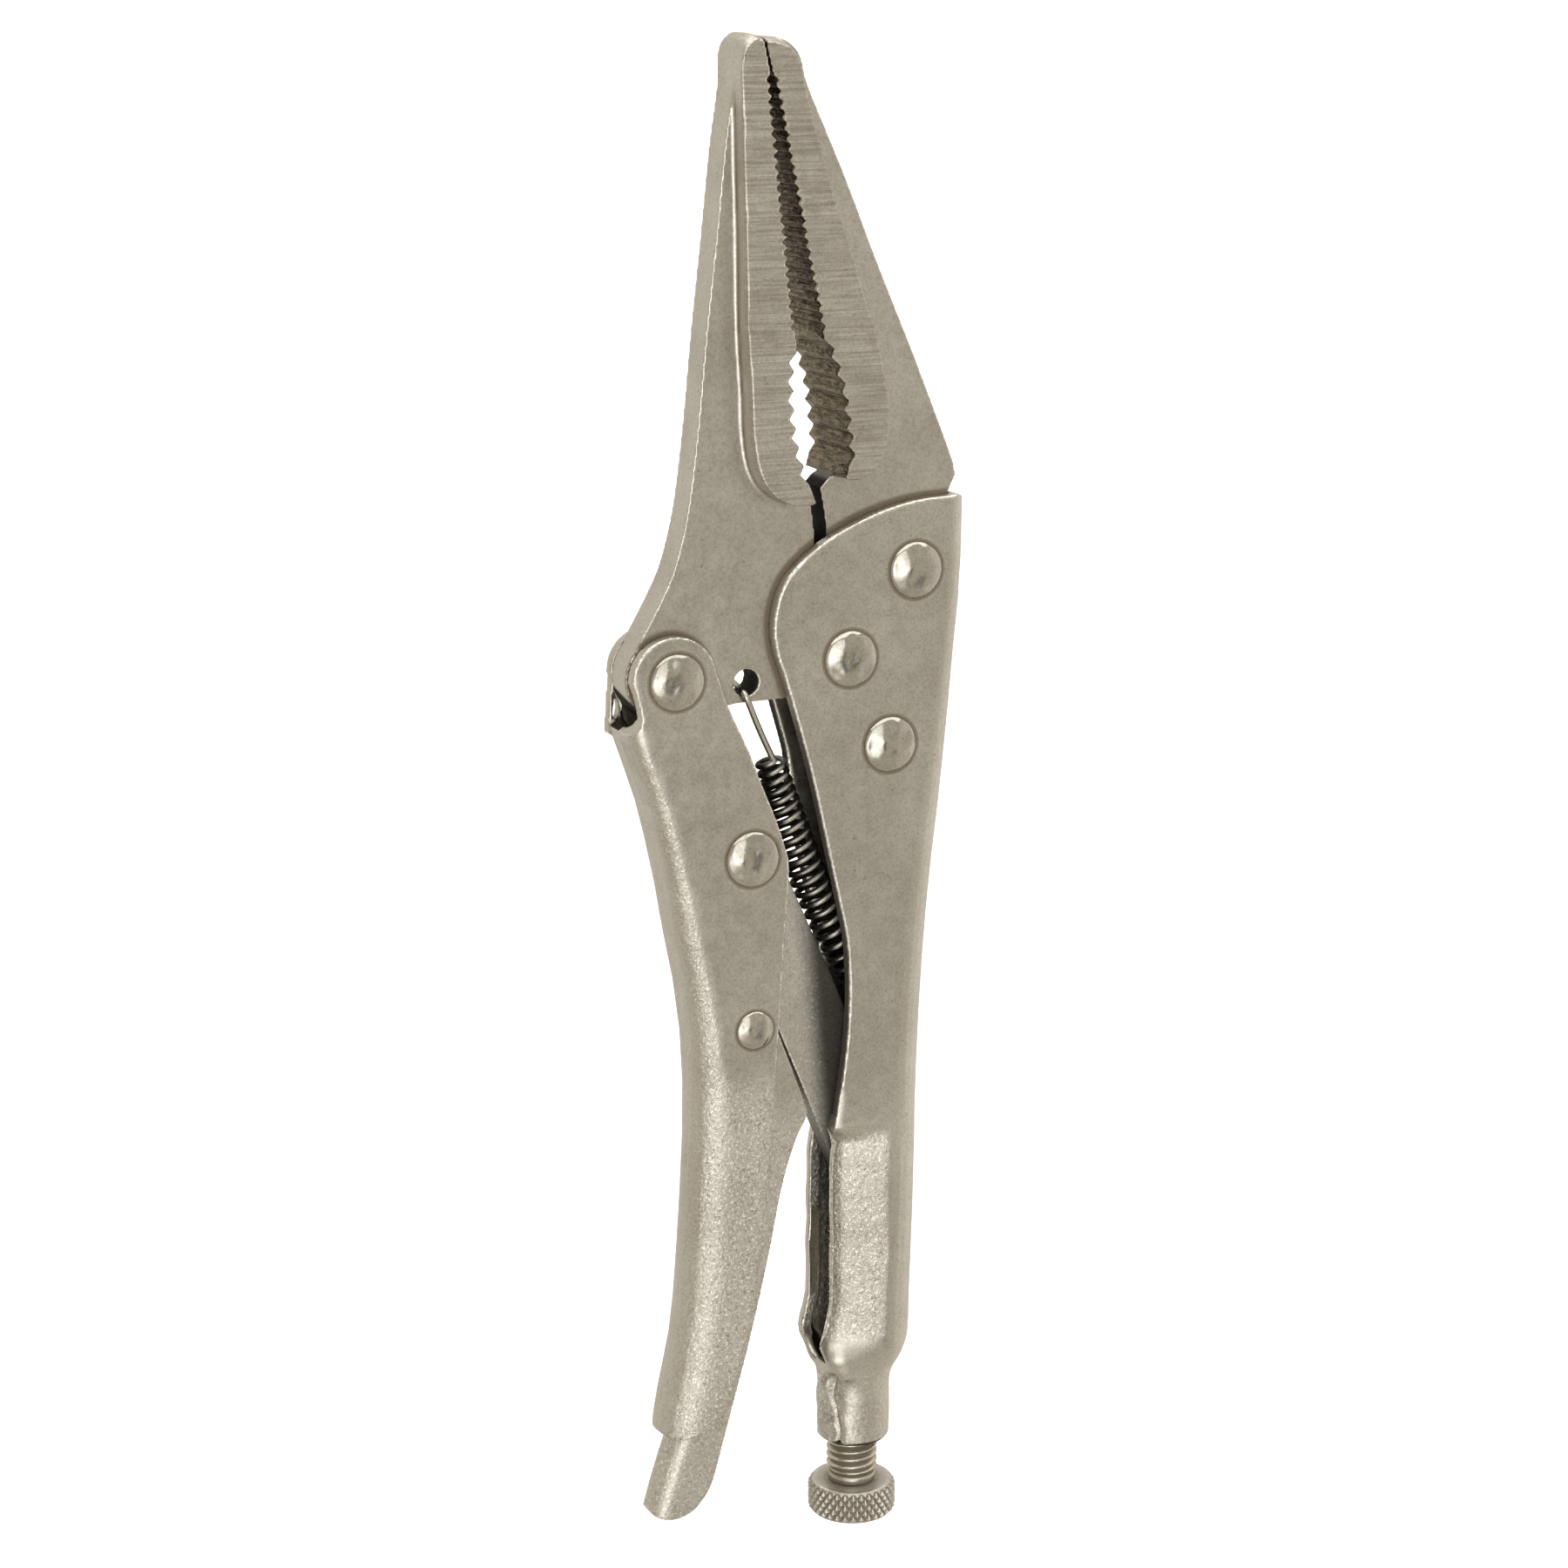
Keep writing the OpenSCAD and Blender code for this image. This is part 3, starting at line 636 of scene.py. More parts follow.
def crimp_neck(piece):
    """Dents the neck, and closes the slot down it as a crimped seam.

    Returns how much each point is part of the formed outside.
    """
    at = drawn(points_of(piece))
    x = at[:, 0] - screw_middle()
    turn = np.degrees(np.arctan2(x, at[:, 2]))
    on_neck = smooth_step(NECK_TOP + 1.5, NECK_TOP - 0.8, at[:, 1])
    on_neck *= smooth_step(4.4, 5.2, np.hypot(x, at[:, 2]))
    seam = -52 + 8 * np.sin((at[:, 1] - NECK_TOP) / 2.1)
    groove = np.exp(-(((turn - seam) / 5) ** 2))
    crumpled = smooth_step(-30, -55, turn) * smooth_step(-150, -110, turn)
    dents = 0.07 * (ripple(at, 7, 11) - 1.2)
    crumple = crumpled * 0.30 * (ripple(at, 4.2, 12) - 1.2)
    shift(piece, on_neck * (dents + crumple - 0.6 * groove))
    return on_neck * np.clip(0.45 + 0.4 * crumpled, 0, 1)


def neck_collar():
    """A ring that fills the step between the closed part and the neck."""
    segments = 48
    angles = np.arange(segments) * math.tau / segments
    bore, outer = 4.3, 5.9
    top, shoulder, foot = NECK_TOP + 1.0, NECK_TOP - 0.8, NECK_TOP - 2.4
    rings = [(bore, top), (outer, top), (outer, shoulder), (NECK_RADIUS - 0.1, foot), (bore, foot)]
    points = []
    for radius, height in rings:
        points += list(on_screw_axis(radius * np.cos(angles), radius * np.sin(angles), height))
    faces = ring_faces(len(rings), segments)
    last = (len(rings) - 1) * segments
    faces += [
        (last + i, last + (i + 1) % segments, (i + 1) % segments, i) for i in range(segments)
    ]
    return [tuple(p) for p in points], faces


def handle_inside(at, normals):
    """The channel's inner faces, which lie in the dark."""
    channel = smooth_step(0.2, 0.6, -normals[:, 2] * np.sign(at[:, 2]))
    channel = np.maximum(channel, smooth_step(0.3, 0.7, -normals[:, 0]) * (at[:, 0] > 4))
    channel *= np.abs(at[:, 2]) < HANDLE_INNER + 0.3
    x = at[:, 0] - screw_middle()
    tube = smooth_step(0.1, 0.5, -(normals[:, 0] * x + normals[:, 2] * at[:, 2]) / 4)
    tube *= np.hypot(x, at[:, 2]) < 7
    return np.where(at[:, 1] > TUBE_TOP - 1, channel, tube)


def widen_far_leg(piece):
    """The far leg reaches a little further across, behind the spring."""
    at = drawn(points_of(piece))
    far = at[:, 2] < -HANDLE_INNER
    rows = np.clip(np.round(-at[:, 1]), 0, None).astype(int)
    edge = np.full(rows.max() + 1, np.inf)
    np.minimum.at(edge, rows[far], at[far, 0])
    reach = smooth_step(4.5, 0, at[:, 0] - edge[rows]) * far
    reach *= smooth_step(-14, -24, at[:, 1]) * smooth_step(-57, -49, at[:, 1])
    at[:, 0] -= FAR_LEG_EXTRA * reach
    set_points(piece, undrawn(at))


def smooth_shoulders(piece):
    """Smooths the throat above the neck and the shoulder above the closed part."""
    at = drawn(points_of(piece))
    throat = smooth_step(-108.5, -111, at[:, 1]) * smooth_step(-118, -116, at[:, 1])
    throat *= smooth_step(4.9, 5.4, np.hypot(at[:, 0] - screw_middle(), at[:, 2]))
    melt(piece, throat, 60)
    shoulder = smooth_step(TUBE_TOP - 6, TUBE_TOP - 4, at[:, 1])
    shoulder *= smooth_step(TUBE_TOP + 5, TUBE_TOP + 3, at[:, 1])
    melt(piece, shoulder * smooth_step(4.8, 5.2, np.abs(at[:, 2])), 40)


def build_fixed_handle():
    """The stamped channel, closed lower down round the screw and crimped to a neck."""
    piece = solid_copy("fixed_handle", SHEET_MESH, extras=[neck_collar()])
    widen_far_leg(piece)
    smooth_shoulders(piece)
    edge_marks(piece)
    at, normals = drawn(points_of(piece)), normals_of(piece)
    # Painted shade on the channel's inner faces and on the left edge faces, fully on the far side and
    # growing lower down on the near side; the left edge and places against the jaw and rivets also get
    # painted contact shade.
    left_edge = smooth_step(0.6, 0.9, -normals[:, 0]) * (at[:, 1] > TUBE_TOP)
    shaded = np.where(at[:, 2] < 0, 1.0, 0.8 * smooth_step(0, -12, at[:, 1]))
    inside = np.maximum(handle_inside(at, normals), left_edge * shaded)
    set_value(piece, "inside", inside)
    add_dirt_and_shade(piece, 0.5 * left_edge + 1.2 * contact(piece, ["upper_jaw", *HEADS], 0.7))
    formed = np.maximum(press_tube(piece), crimp_neck(piece))
    formed = spread(formed, edges_of(piece), 3)
    set_value(piece, "formed", formed)
    pebble(piece, SHEET_GRAIN * formed)
    spare(piece, 0.8)
    piece.data.materials.append(metal("handle_nickel", NICKEL, NICKEL_LIGHT))
    return stand_in(piece, "frame", "fixed_handle", slot="satin_nickel")


def mark_jaw(piece, mouth_side):
    """Stores a jaw's edge wear and painted highlight line, its dirt and painted shade, its mouth's
    stain and painted shade, and its ground faces, and returns the ground ones.
    """
    at, normals = drawn(points_of(piece)), normals_of(piece)
    depth = np.abs(at[:, 2])
    mouth = smooth_step(0.25, 0.6, normals[:, 0] * mouth_side)
    ground = smooth_step(5.4, 5.8, depth) * (1 - mouth)
    above_foot = smooth_step(MOUTH_FOOT - 3, MOUTH_FOOT + 3, at[:, 1])
    # The side wall away from the mouth is darkened, as dirt and painted shade.
    wall = smooth_step(0.5, 0.8, -normals[:, 0] * mouth_side) * above_foot
    wall *= smooth_step(3.0, 3.4, depth) * smooth_step(86, 76, at[:, 1])
    # The foot of that wall loses its darkening and gets a painted highlight line in its place.
    foot = smooth_step(0.25, 0.5, value_of(piece, "dirt_and_painted_shade")) * (depth < 3.2) * above_foot
    spare(piece, (1 - mouth) * (1 - 0.85 * (depth > 4.5)))
    # Places against the handles and rivet heads get painted contact shade.
    others = ["fixed_handle", "lever_handle", *HEADS]
    add_dirt_and_shade(piece, 0.6 * wall + 1.5 * contact(piece, others, 1.4) - foot)
    set_value(piece, "wear_and_highlight", np.clip(value_of(piece, "wear_and_highlight") + 0.3 * foot, 0, 1))
    # The mouth's faces get stain and painted shade; below the mouth's foot they get only painted shade.
    below = smooth_step(MOUTH_FOOT + 1, MOUTH_FOOT - 1, at[:, 1])
    set_value(piece, "mouth", mouth * (1 - below))
    set_value(piece, "ground", ground)
    # Painted shade on the spring hole's wall, on the faces of the gap below the mouth, and on the jaw's
    # left face within the lever's notch.
    hole_x, hole_y = SPRING_HOLE
    hole = np.hypot(at[:, 0] - hole_x, at[:, 1] - hole_y) < HOLE_REACH
    inside = np.maximum(hole * (depth < 2.75), mouth * below)
    notch = smooth_step(-2.9, -3.6, at[:, 1] + 0.3 * at[:, 2]) * (at[:, 0] < -27)
    set_value(piece, "inside", np.maximum(inside, notch * smooth_step(0.1, 0.4, -normals[:, 0])))
    return ground


def build_jaw(node, body, mouth_side):
    """A forged jaw; its mouth is on the side that mouth_side points to, across the tool."""
    piece = solid_copy(node, JAW_MESH)
    edge_marks(piece)
    ground = mark_jaw(piece, mouth_side)
    at = drawn(points_of(piece))
    shift(piece, 0.02 * ground * (ripple(at * (0.15, 1, 0.3), 1.5, 8) - 1.5))
    _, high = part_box(node)
    round_end(piece, drawn([high])[0][1], -6, -1.9, 6, 0.4)
    piece.data.materials.append(metal(node + "_nickel", NICKEL, NICKEL_LIGHT, pads=True))
    return stand_in(piece, body, node, slot="satin_nickel")


def notch_corner():
    """The far corner of the lever's back, which stands up beside its notch."""
    outline = [
        (-34.2, -1.0), (-34.6, -4), (-35.0, -10), (-34.3, -10), (-34.0, -5), (-33.9, -1.5),
    ]
    return prism(outline, -5.4, -3.5)


def soften_bend(piece):
    """Widens the bend between the lever's back and its two legs."""
    at, normals = drawn(points_of(piece)), normals_of(piece)
    outer = smooth_step(-0.3, 0.2, normals[:, 2] * np.sign(at[:, 2]) - 0.6 * normals[:, 0])
    outer *= smooth_step(0.3, -0.1, normals[:, 0]) * smooth_step(-11, -17, at[:, 1])
    melt(piece, outer * smooth_step(3.6, 4.2, np.abs(at[:, 2])), 36)


def lever_inside(at, normals):
    """The inner faces of the lever's channel and of its notch, which lie in the dark."""
    inside = smooth_step(0.2, 0.6, -normals[:, 2] * np.sign(at[:, 2]))
    inside = np.maximum(inside, smooth_step(0.3, 0.7, normals[:, 0]))
    inside *= np.abs(at[:, 2]) < LEVER_INNER + 0.2
    notch = (at[:, 1] > -9 + 0.2 * at[:, 2] ** 2) * (at[:, 0] < -29) * (np.abs(at[:, 2]) < 3.3)
    return np.maximum(inside, notch * smooth_step(-0.4, 0.0, normals[:, 0]))


def lever_formed(at, normals, inside):
    """The outside of the lever's lower part and of its bend, where forming left its grain."""
    formed = smooth_step(-56, -74, at[:, 1] + 2 * ripple(at, 9, 6)) * (1 - inside)
    formed *= smooth_step(-0.9, -0.5, normals[:, 0])
    bend = smooth_step(0.1, 0.4, -normals[:, 0]) * smooth_step(0.95, 0.6, -normals[:, 0])
    bend *= smooth_step(-9, -14, at[:, 1]) * (1 - inside)
    return np.maximum(formed, bend * 0.9)


def build_lever():
    """The stamped lever handle, a channel that opens to the right."""
    piece = solid_copy("lever_handle", SHEET_MESH, extras=[notch_corner()])
    soften_bend(piece)
    edge_marks(piece)
    at, normals = drawn(points_of(piece)), normals_of(piece)
    # Painted shade on the channel's inner faces and in its notch.
    inside = lever_inside(at, normals)
    set_value(piece, "inside", inside)
    spare(piece, np.where((at[:, 2] < 0) & (at[:, 1] > -6), 0.2, 1.0))
    # Painted contact shade round the rivet heads.
    add_dirt_and_shade(piece, contact(piece, HEADS, 0.7))
    formed = lever_formed(at, normals, inside)
    set_value(piece, "formed", formed)
    crease_x, crease_y = CREASE
    crease = np.exp(-(((at[:, 1] - crease_y) / 0.3) ** 2))
    crease *= smooth_step(1.6, 1.2, np.abs(at[:, 0] - crease_x))
    shift(piece, -CREASE_DEPTH * crease * (at[:, 2] > 0))
    pebble(piece, SHEET_GRAIN * formed)
    low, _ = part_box("lever_handle")
    round_end(piece, drawn([low])[0][1], 9, 1.7, 5.5, 0.3)
    piece.data.materials.append(metal("lever_nickel", NICKEL, NICKEL_LIGHT))
    return stand_in(piece, "lever", "lever_handle", slot="satin_nickel")


def build_release():
    """The thin channel nested in the lever, with its tail below the lever's end."""
    piece = solid_copy("release_lever", THIN_SHEET_MESH, 2)
    edge_marks(piece)
    at = drawn(points_of(piece))
    formed = smooth_step(-60, -75, at[:, 1]) * 0.7
    set_value(piece, "formed", formed)
    pebble(piece, THIN_SHEET_GRAIN * formed)
    # Painted contact shade where the lever's edge lies over it.
    add_dirt_and_shade(piece, contact(piece, ["lever_handle"], 0.9))
    low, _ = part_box("release_lever")
    round_end(piece, drawn([low])[0][1], 7, 1.2, 3.3, 0.3)
    piece.data.materials.append(metal("release_nickel", NICKEL, NICKEL_LIGHT))
    return stand_in(piece, "release", "release_lever", slot="satin_nickel")


def build_link():
    """The toggle link, with a painted shadow that darkens it towards the fixed handle."""
    piece = solid_copy("toggle_link", LINK_MESH)
    edge_marks(piece)
    at = drawn(points_of(piece))
    # Painted shadow: the link grows darker towards the fixed handle, whose plate shades it.
    painted_shadow = smooth_step(-9.0, -3.3, at[:, 0] + at[:, 1] * 0.09 + 4.3 + 0.15 * ripple(at, 9, 9))
    set_value(piece, "inside", painted_shadow * 0.95)
    set_value(piece, "formed", 0.3 + 0.5 * painted_shadow)
    pebble(piece, LINK_GRAIN * (1 + 0.5 * painted_shadow))
    piece.data.materials.append(metal("link_nickel", NICKEL, NICKEL_LIGHT, 0.36))
    return stand_in(piece, "link", "toggle_link", slot="dark_nickel")


# Rivets ----------------------------------------------------------------------

# A head's radius as a share of the CAD's, and its dome's height as a share of that radius
HEAD_SHARE = 0.97
HEAD_RISE = 0.31
# How deep the hammer's dents in a head are
DENT_DEPTH = 0.075


def build_rivet(node, body, material):
    """A rivet with a low polished dome at both ends, its rims rounded over."""
    low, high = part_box(node)
    x, y = middle_of(node)
    radius = head_radius(node) * HEAD_SHARE
    tip = (high[1] - low[1]) / 2 / MM
    rise = radius * HEAD_RISE
    steps = 22
    dome = []
    for k in range(1, steps + 1):
        across = math.sin(k / steps * math.pi / 2)
        dome.append((radius * across, tip - rise + rise * (1 - across**2.3) ** 0.6))
    half = dome + [(radius - 0.25, tip - rise), (radius * 0.55, tip - rise)]
    rings = half + [(r, -z) for r, z in reversed(half)]

    def to_frame(a, b, height):
        """Frame points about the rivet's axis."""
        return undrawn(np.column_stack([x + a, y + b, np.full(len(a), height)]))

    piece = turned(node + "_head", rings, 72, to_frame)
    at = drawn(points_of(piece))
    out = np.hypot(at[:, 0] - x, at[:, 1] - y) / radius
    # Painted contact shade round the rim where the head meets the plate.
    set_value(piece, "dirt_and_painted_shade", smooth_step(0.975, 1.0, out) * 0.9)
    uneven = DENT_DEPTH * ripple(at, 2.6, 20) + 0.008 * ripple(at, 1.2, 21)
    shift(piece, (uneven - 0.07) * smooth_step(1.0, 0.8, out))
    piece.data.materials.append(material)
    return stand_in(piece, body, node, slot="rivet_steel")


def build_rivets():
    """All the rivets, in one material."""
    material = metal("rivet_polish", RIVET, NICKEL, 0.12, relief=0.003, scratches=0.008)
    for node, body in HEADS.items():
        build_rivet(node, body, material)


# Adjusting screw and knob ----------------------------------------------------

PITCH = 1.25
THREAD_DEPTH = 0.66
# The smooth collar between the knob and the thread
COLLAR_HEIGHT = 1.3
KNURLS = 32
KNURL_HEIGHT = 1.75
KNURL_DEPTH = 0.5
KNOB_CHAMFER = 0.75


def on_screw_axis(a, b, height):
    """Frame points about the screw's axis; a right-handed helix climbs as its angle grows."""
    x = screw_middle()
    return undrawn(np.column_stack([x + a, np.full(len(a), height), -b]))


def saw(turns):
    """0 at each whole turn and 1 halfway between."""
    return 1 - np.abs(2 * (turns % 1) - 1)


def screw_ends():
    """The heights of the screw's tip and of the knob's top and bottom."""
    screw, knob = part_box("adjusting_screw"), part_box("screw_knob")
    return [drawn([corner])[0][1] for corner in (screw[1], knob[1], knob[0])]


def build_screw():
    """The smooth collar and the helical thread above it."""
    tip, bottom, _ = screw_ends()
    low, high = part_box("adjusting_screw")
    radius = (high[0] - low[0]) / 2 / MM
    collar = bottom + COLLAR_HEIGHT
    segments = 72
    angles = np.arange(segments) / segments
    rings = [(radius - 0.45, bottom), (radius - 0.25, bottom + 0.2)]
    rings += [(radius - 0.25, collar - 0.35), (radius - 0.32, collar - 0.12)]
    rings.append((radius - 0.5, collar))
    crests = [0.0] * len(rings) * segments
    for height in np.arange(collar + 0.09, tip - 0.05, PITCH / 14):
        crest = np.clip((saw(height / PITCH - angles) - 0.16) / 0.66, 0, 1)
        crest = 0.4 * crest + 0.6 * crest**2 * (3 - 2 * crest)
        fade = smooth_step(0, 1.1, height - collar) * smooth_step(0, 0.8, tip - height)
        rings.append((radius - THREAD_DEPTH + THREAD_DEPTH * crest * fade, height))
        crests += list(crest * fade)
    rings.append((radius - THREAD_DEPTH - 0.4, tip))
    crests += [0.0] * (segments + 2)
    piece = turned("screw_thread", rings, segments, on_screw_axis)
    crests = np.array(crests)
    on_thread = drawn(points_of(piece))[:, 1] > collar
    set_value(piece, "wear_and_highlight", smooth_step(0.8, 1.0, crests) * 0.4)
    # The thread's roots are darkened, as dirt and painted shade.
    set_value(piece, "dirt_and_painted_shade", smooth_step(0.45, 0.05, crests) * on_thread)
    piece.data.materials.append(metal("screw_brassy", BRASSY, NICKEL, 0.32, relief=0.012))
    return stand_in(piece, "screw", "adjusting_screw", slot="screw_steel")


def build_knob():
    """The knob, with a diamond knurl round its side."""
    _, top, bottom = screw_ends()
    low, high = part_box("screw_knob")
    radius = (high[0] - low[0]) / 2 / MM
    chamfer, segments = KNOB_CHAMFER, KNURLS * 12
    angles = np.arange(segments) / segments * KNURLS
    rings = [(r, bottom + d) for r, d in ((0.5, 0.5), (1.0, 0.12), (1.4, 0.0))]
    rings += [(r, bottom) for r in np.linspace(2.2, radius - chamfer - 0.2, 6)]
    for height in np.linspace(bottom, top, 54):
        edge = min(height - bottom, top - height)
        limit = radius - chamfer + min(edge, chamfer) * 0.95 + 0.05
        rise = height / KNURL_HEIGHT
        crest = np.clip(np.minimum(saw(angles + rise), saw(angles - rise)) * 1.35 - 0.08, 0, 1)
        rings.append((np.minimum(radius - KNURL_DEPTH * (1 - crest), limit), height))
    rings += [(r, top) for r in np.linspace(radius - chamfer - 0.25, 4.6, 6)]
    rings += [(4.2, top - 0.02), (2.0, top - 0.04)]
    piece = turned("knurled_knob", rings, segments, on_screw_axis)
    edge_marks(piece, 1, 2)
    at = drawn(points_of(piece))
    out = np.hypot(at[:, 0] - screw_middle(), at[:, 2])
    # The knob's top and its knurl's grooves are darkened, as dirt and painted shade.
    on_top = smooth_step(top - 0.3, top - 0.05, at[:, 1]) * smooth_step(6.2, 5.0, out)
    depth = smooth_step(radius - 0.12, radius - KNURL_DEPTH, out) * (out > radius - 0.8)
    add_dirt_and_shade(piece, 0.5 * on_top + 0.5 * depth)
    spare(piece, 0.5)
    piece.data.materials.append(metal("knob_nickel", NICKEL_LIGHT, POLISHED, 0.28, relief=0.006))
    return stand_in(piece, "knob", "screw_knob", slot="screw_steel")


# Return spring ---------------------------------------------------------------

# Where the lower hook is held, in the fixed handle
SPRING_ANCHOR = (6.2, -58.5)
# The coil's ends, as distances from the hole towards the anchor
COIL_START = 13.4
COIL_END = 53.0
COIL_TURNS = 22
# The radius at the coil's ends, how much wider its middle is, how much closer it is wound at
# its top, and how far its middle lies to the left
COIL_RADIUS = 1.85
COIL_SWELL = 0.75
COIL_STRETCH = 0.22
COIL_BOW = 1.0
WIRE_RADIUS = 0.46
# The hooks' routes, as distances from the hole towards the anchor, to the right and towards
# the near side
UPPER_HOOK = [
    (0.4, 0, -3.9), (0.6, -0.3, -2.6), (0.7, -0.6, 0), (0.8, -0.9, 2.4),
    (1.3, -1, 3.5), (2.6, -1, 3.7), (6, -0.8, 3.1), (10, -0.4, 2.3),
]
LOWER_HOOK = [
    (54.6, 0, 1.7), (57, 0, 1.5), (58.9, 0, 1.2), (59.8, 0, 0.5), (59.9, 0, -0.6), (59.6, 0, -1.5),
]


def spring_route():
    """The wire's route, as points about the jaw pivot: a hook, the coil and a second hook."""
    hole, anchor = Vector(SPRING_HOLE), Vector(SPRING_ANCHOR)
    down = (anchor - hole).normalized()
    side = Vector((-down.y, down.x))

    def on_spring(d, u, w):
        """A point at distances down the spring, across it and towards the near side."""
        spot = hole + down * d + side * u
        return (spot.x, spot.y, w)

    steps = 30
    coil = []
    for k in range(COIL_TURNS * steps + 1):
        turn = math.radians(90 + 360 * k / steps)
        s = k / (COIL_TURNS * steps)
        radius = COIL_RADIUS + COIL_SWELL * math.sin(math.pi * s)
        d = COIL_START + (COIL_END - COIL_START) * s * (1 - COIL_STRETCH + COIL_STRETCH * s)
        bow = COIL_BOW * math.sin(math.pi * s)
        coil.append(on_spring(d, radius * math.cos(turn) - bow, radius * math.sin(turn)))
    upper = smooth_route([on_spring(*p) for p in UPPER_HOOK] + coil[:1])
    lower = smooth_route(coil[-1:] + [on_spring(*p) for p in LOWER_HOOK])
    return np.array(upper[:-1] + coil + lower[1:])


def smooth_route(points, steps=6):
    """A smooth curve through some points."""
    p = [points[0]] + list(points) + [points[-1]]
    p = [Vector(q) for q in p]
    route = []
    for a, b, c, d in zip(p, p[1:], p[2:], p[3:]):
        for k in range(steps):
            t = k / steps
            bend = (2 * a - 5 * b + 4 * c - d) * t**2 + (3 * b - a - 3 * c + d) * t**3
            route.append(tuple(b + 0.5 * ((c - a) * t + bend)))
    return route + [tuple(points[-1])]


def build_spring():
    """The return spring's wire, which runs from the lower jaw to the fixed handle."""
    route = spring_route()
    sides = 10
    heading = np.gradient(route, axis=0)
    heading /= np.linalg.norm(heading, axis=1)[:, None]
    across = np.array([0.3, 0.9, 0.1])
    points = []
    for spot, ahead in zip(route, heading):
        across = across - ahead * (across @ ahead)
        across /= np.linalg.norm(across)
        other = np.cross(ahead, across)
        for k in range(sides):
            a = math.tau * k / sides
            points.append(spot + WIRE_RADIUS * (math.cos(a) * across + math.sin(a) * other))
    faces = ring_faces(len(route), sides)
    faces.append(tuple(range(sides)))
    faces.append(tuple(range(len(points) - 1, len(points) - sides - 1, -1)))
    piece = new_object("spring_wire", undrawn(points), faces)
    at, outward = np.array(points), np.array(points) - np.repeat(route, sides, axis=0)
    # Painted shade: below the jaw the wire is darkened, except on the crests that face away from the
    # coil's middle plane, which keep the plain metal.
    polished = smooth_step(0.74, 0.97, outward[:, 2] / WIRE_RADIUS * np.sign(at[:, 2]))
    set_value(piece, "inside", smooth_step(-14, -16, at[:, 1]) * (1 - polished))
    piece.data.materials.append(metal("spring_wire_steel", NICKEL, POLISHED, 0.28, relief=0.006))
    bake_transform(piece)
    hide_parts("return_spring")
    return piece


# Studio ----------------------------------------------------------------------

# The room's warm ambient light, and its bright and dark panels: each has an azimuth and an
# elevation in degrees, a sharpness and a strength
ROOM_LIGHT = 0.68
ROOM_COLOUR = (1.0, 0.925, 0.78, 1)
DARK_PANELS = [(8, -13, 40, -0.58)]
WHITE_PANELS = [
    (-20, -13, 16, 1.6), (-40, -13, 30, 1.0), (-14, 14, 10, 0.35), (-150, 0, 2, 0.20), (95, -5, 3, 0.45)
]
FLOOR_SIZE = 25.0
FLOOR_GAP = 0.003
FLOOR_COLOUR = (0.93, 0.93, 0.93, 1)
CEILING_STRENGTH = 2.8
CEILING_SPREAD = 100
# The camera's direction from the tool, its place in metres, and its lens
CAMERA_AZIMUTH = -23.92
CAMERA_ELEVATION = 13.82
CAMERA_PLACE = (-0.20292, -0.45606, 0.24147)
CAMERA_LENS = 79.38
SENSOR_WIDTH = 36.0


def towards(azimuth, elevation):
    """A direction; azimuth 0 is the near side, and positive is to the right."""
    a, e = math.radians(azimuth), math.radians(elevation)
    return Vector((math.sin(a) * math.cos(e), -math.cos(a) * math.cos(e), math.sin(e)))


def build_floor():
    """A wide pale floor, low enough for the knob to stay above it when it is unscrewed."""
    size = FLOOR_SIZE
    height = -JOINTS["screw_advance"]["range_m"][1] - FLOOR_GAP
    corners = [(-size, -size), (size, -size), (size, size), (-size, size)]
    floor = new_object("floor", [(x, y, height) for x, y in corners], [(0, 1, 2, 3)])
    s = Shader("pale_floor")
    s.surface.inputs["Metallic"].default_value = 0.0
    s.surface.inputs["Base Color"].default_value = FLOOR_COLOUR
    s.surface.inputs["Roughness"].default_value = 0.9
    floor.data.materials.append(s.material)
    floor.visible_glossy = False


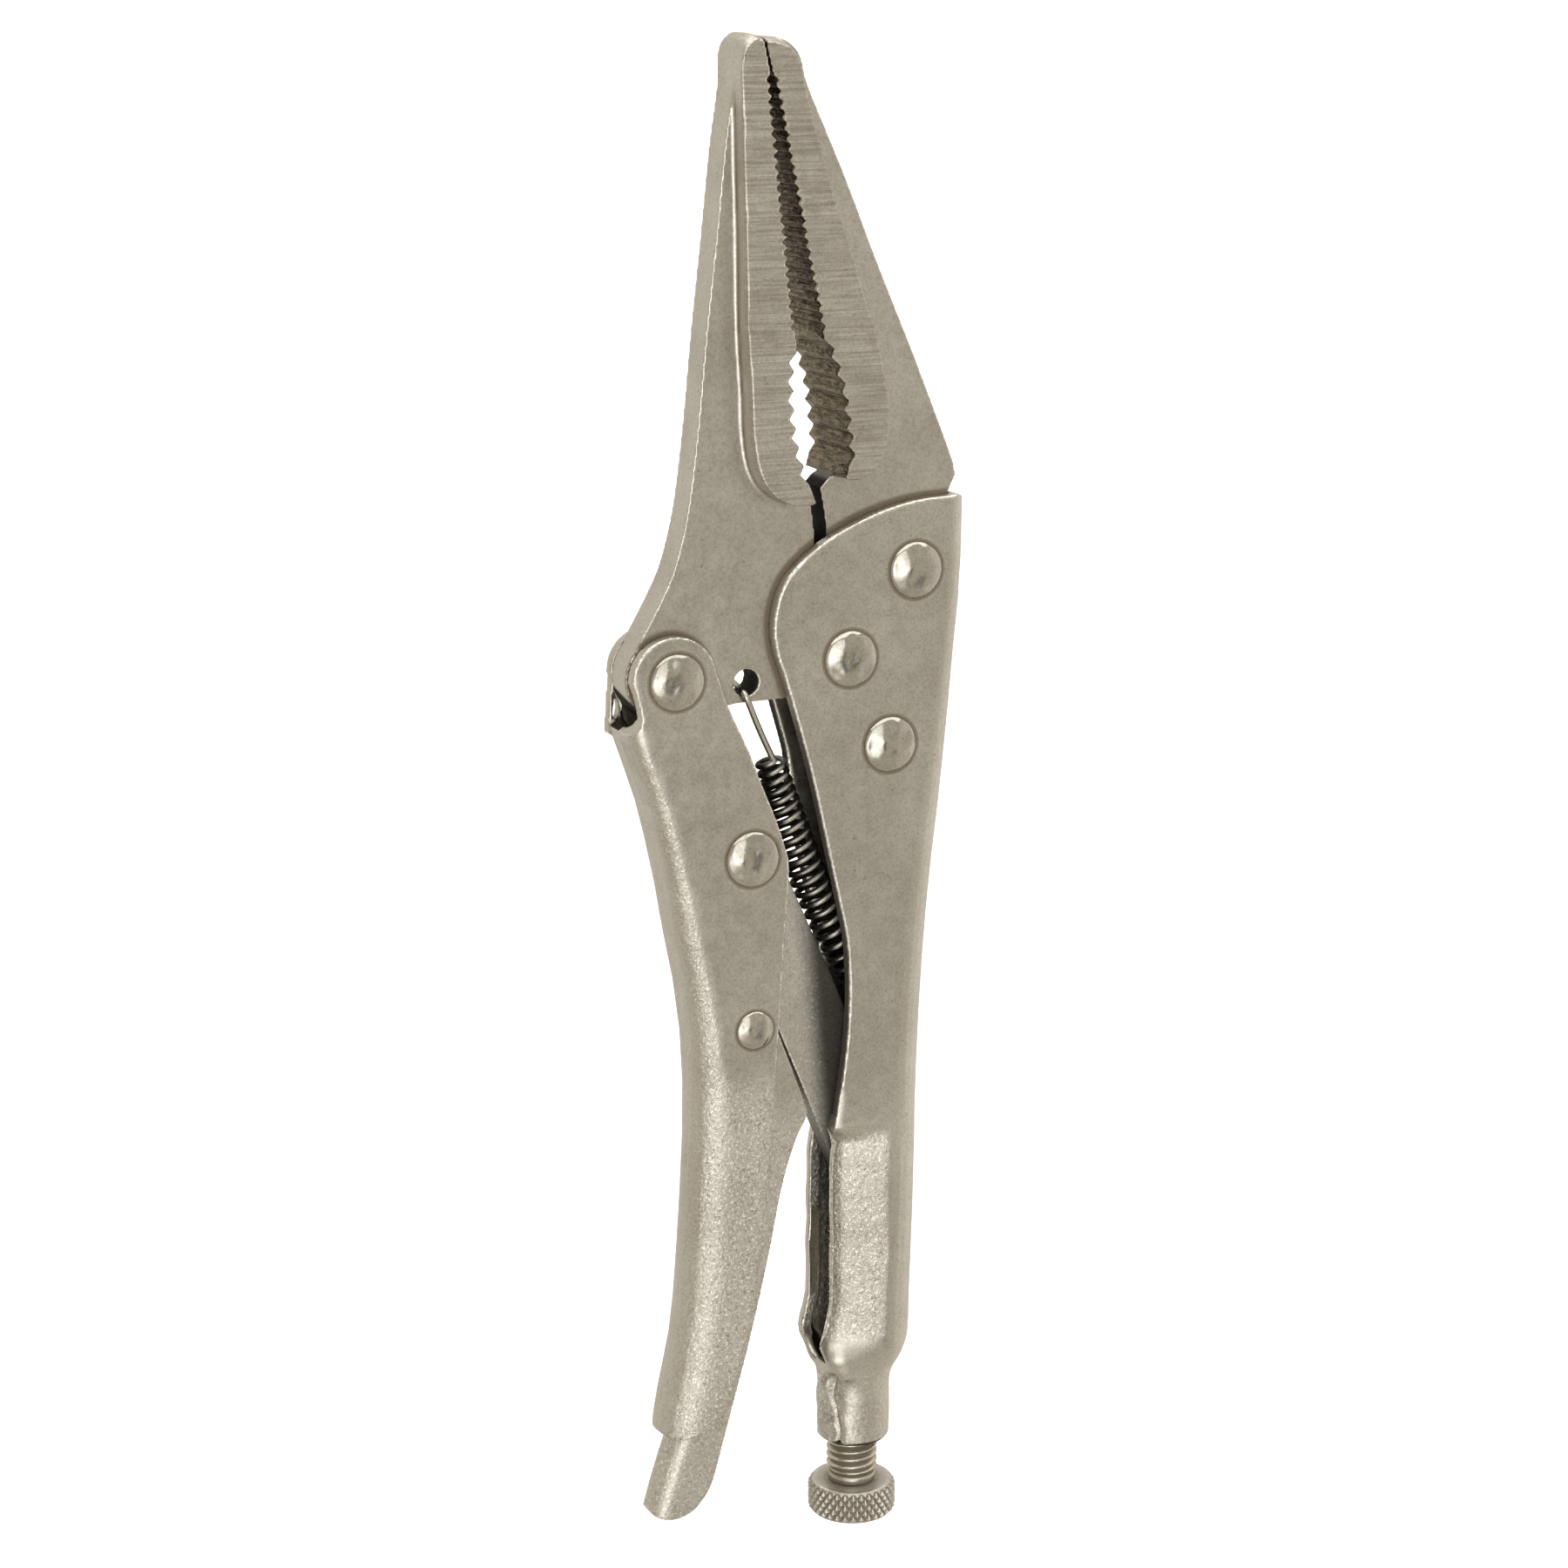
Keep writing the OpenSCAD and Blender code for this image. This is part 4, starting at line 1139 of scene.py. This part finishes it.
def build_world():
    """A room of warm light with soft white and dark panels, as the world's background."""
    world = bpy.data.worlds.new("studio")
    world.use_nodes = True
    nodes, links = world.node_tree.nodes, world.node_tree.links
    where = nodes.new("ShaderNodeTexCoord").outputs["Generated"]

    def maths(operation, *values):
        """One sum on two or three values."""
        node = nodes.new("ShaderNodeMath")
        node.operation = operation
        for socket, value in zip(node.inputs, values):
            if isinstance(value, bpy.types.NodeSocket):
                links.new(value, socket)
            else:
                socket.default_value = value
        return node.outputs["Value"]

    def panels(total, rows):
        """Adds soft round panels to a strength."""
        for azimuth, elevation, sharpness, strength in rows:
            facing = nodes.new("ShaderNodeVectorMath")
            facing.operation = "DOT_PRODUCT"
            links.new(where, facing.inputs[0])
            facing.inputs[1].default_value = towards(azimuth, elevation)
            near = maths("MAXIMUM", facing.outputs["Value"], 0.0)
            lobe = maths("POWER", near, sharpness)
            total = maths("MULTIPLY_ADD", lobe, strength, total)
        return total

    warm = nodes["Background"]
    warm.inputs["Color"].default_value = ROOM_COLOUR
    links.new(panels(ROOM_LIGHT, DARK_PANELS), warm.inputs["Strength"])
    white = nodes.new("ShaderNodeBackground")
    white.inputs["Color"].default_value = (1, 1, 1, 1)
    links.new(panels(0.0, WHITE_PANELS), white.inputs["Strength"])
    both = nodes.new("ShaderNodeAddShader")
    links.new(warm.outputs["Background"], both.inputs[0])
    links.new(white.outputs["Background"], both.inputs[1])
    links.new(both.outputs["Shader"], nodes["World Output"].inputs["Surface"])
    bpy.context.scene.world = world


def build_sun():
    """A wide, soft light from above, which keeps the floor white."""
    lamp = bpy.data.lights.new("ceiling", "SUN")
    lamp.energy = CEILING_STRENGTH
    lamp.angle = math.radians(CEILING_SPREAD)
    obj = bpy.data.objects.new("ceiling", lamp)
    bpy.context.scene.collection.objects.link(obj)


def softbox(name, azimuth, elevation, distance, size, power):
    """A soft rectangular light aimed at the tool from a direction, as towards() gives it."""
    lamp = bpy.data.lights.new(name, "AREA")
    lamp.shape = "RECTANGLE"
    lamp.size, lamp.size_y = size
    lamp.energy = power
    obj = bpy.data.objects.new(name, lamp)
    bpy.context.scene.collection.objects.link(obj)
    away = towards(azimuth, elevation)
    target = (cad_box[0] + cad_box[1]) / 2
    obj.location = target + away * distance
    obj.rotation_mode = "QUATERNION"
    obj.rotation_quaternion = away.to_track_quat("Z", "Y")
    obj.visible_camera = False


def build_camera():
    """The photograph's view: from the left and a little above, with a long lens."""
    data = bpy.data.cameras.new("camera")
    data.sensor_width = SENSOR_WIDTH
    data.lens = CAMERA_LENS
    camera = bpy.data.objects.new("camera", data)
    bpy.context.scene.collection.objects.link(camera)
    away = towards(CAMERA_AZIMUTH, CAMERA_ELEVATION)
    camera.location = CAMERA_PLACE
    camera.rotation_mode = "QUATERNION"
    camera.rotation_quaternion = (-away).to_track_quat("-Z", "Y")
    data.clip_start = 0.01
    bpy.context.scene.camera = camera


build_camera()
build_world()
build_sun()
build_floor()
softbox("near_box", -15, 12, 1.3, (0.9, 1.0), 2.5)
bpy.context.scene.view_settings.view_transform = "Standard"

build_fixed_handle()
build_jaw("upper_jaw", "frame", -1)
build_jaw("lower_jaw", "jaw", 1)
build_lever()
build_release()
build_link()
build_rivets()
build_screw()
build_knob()
build_spring()
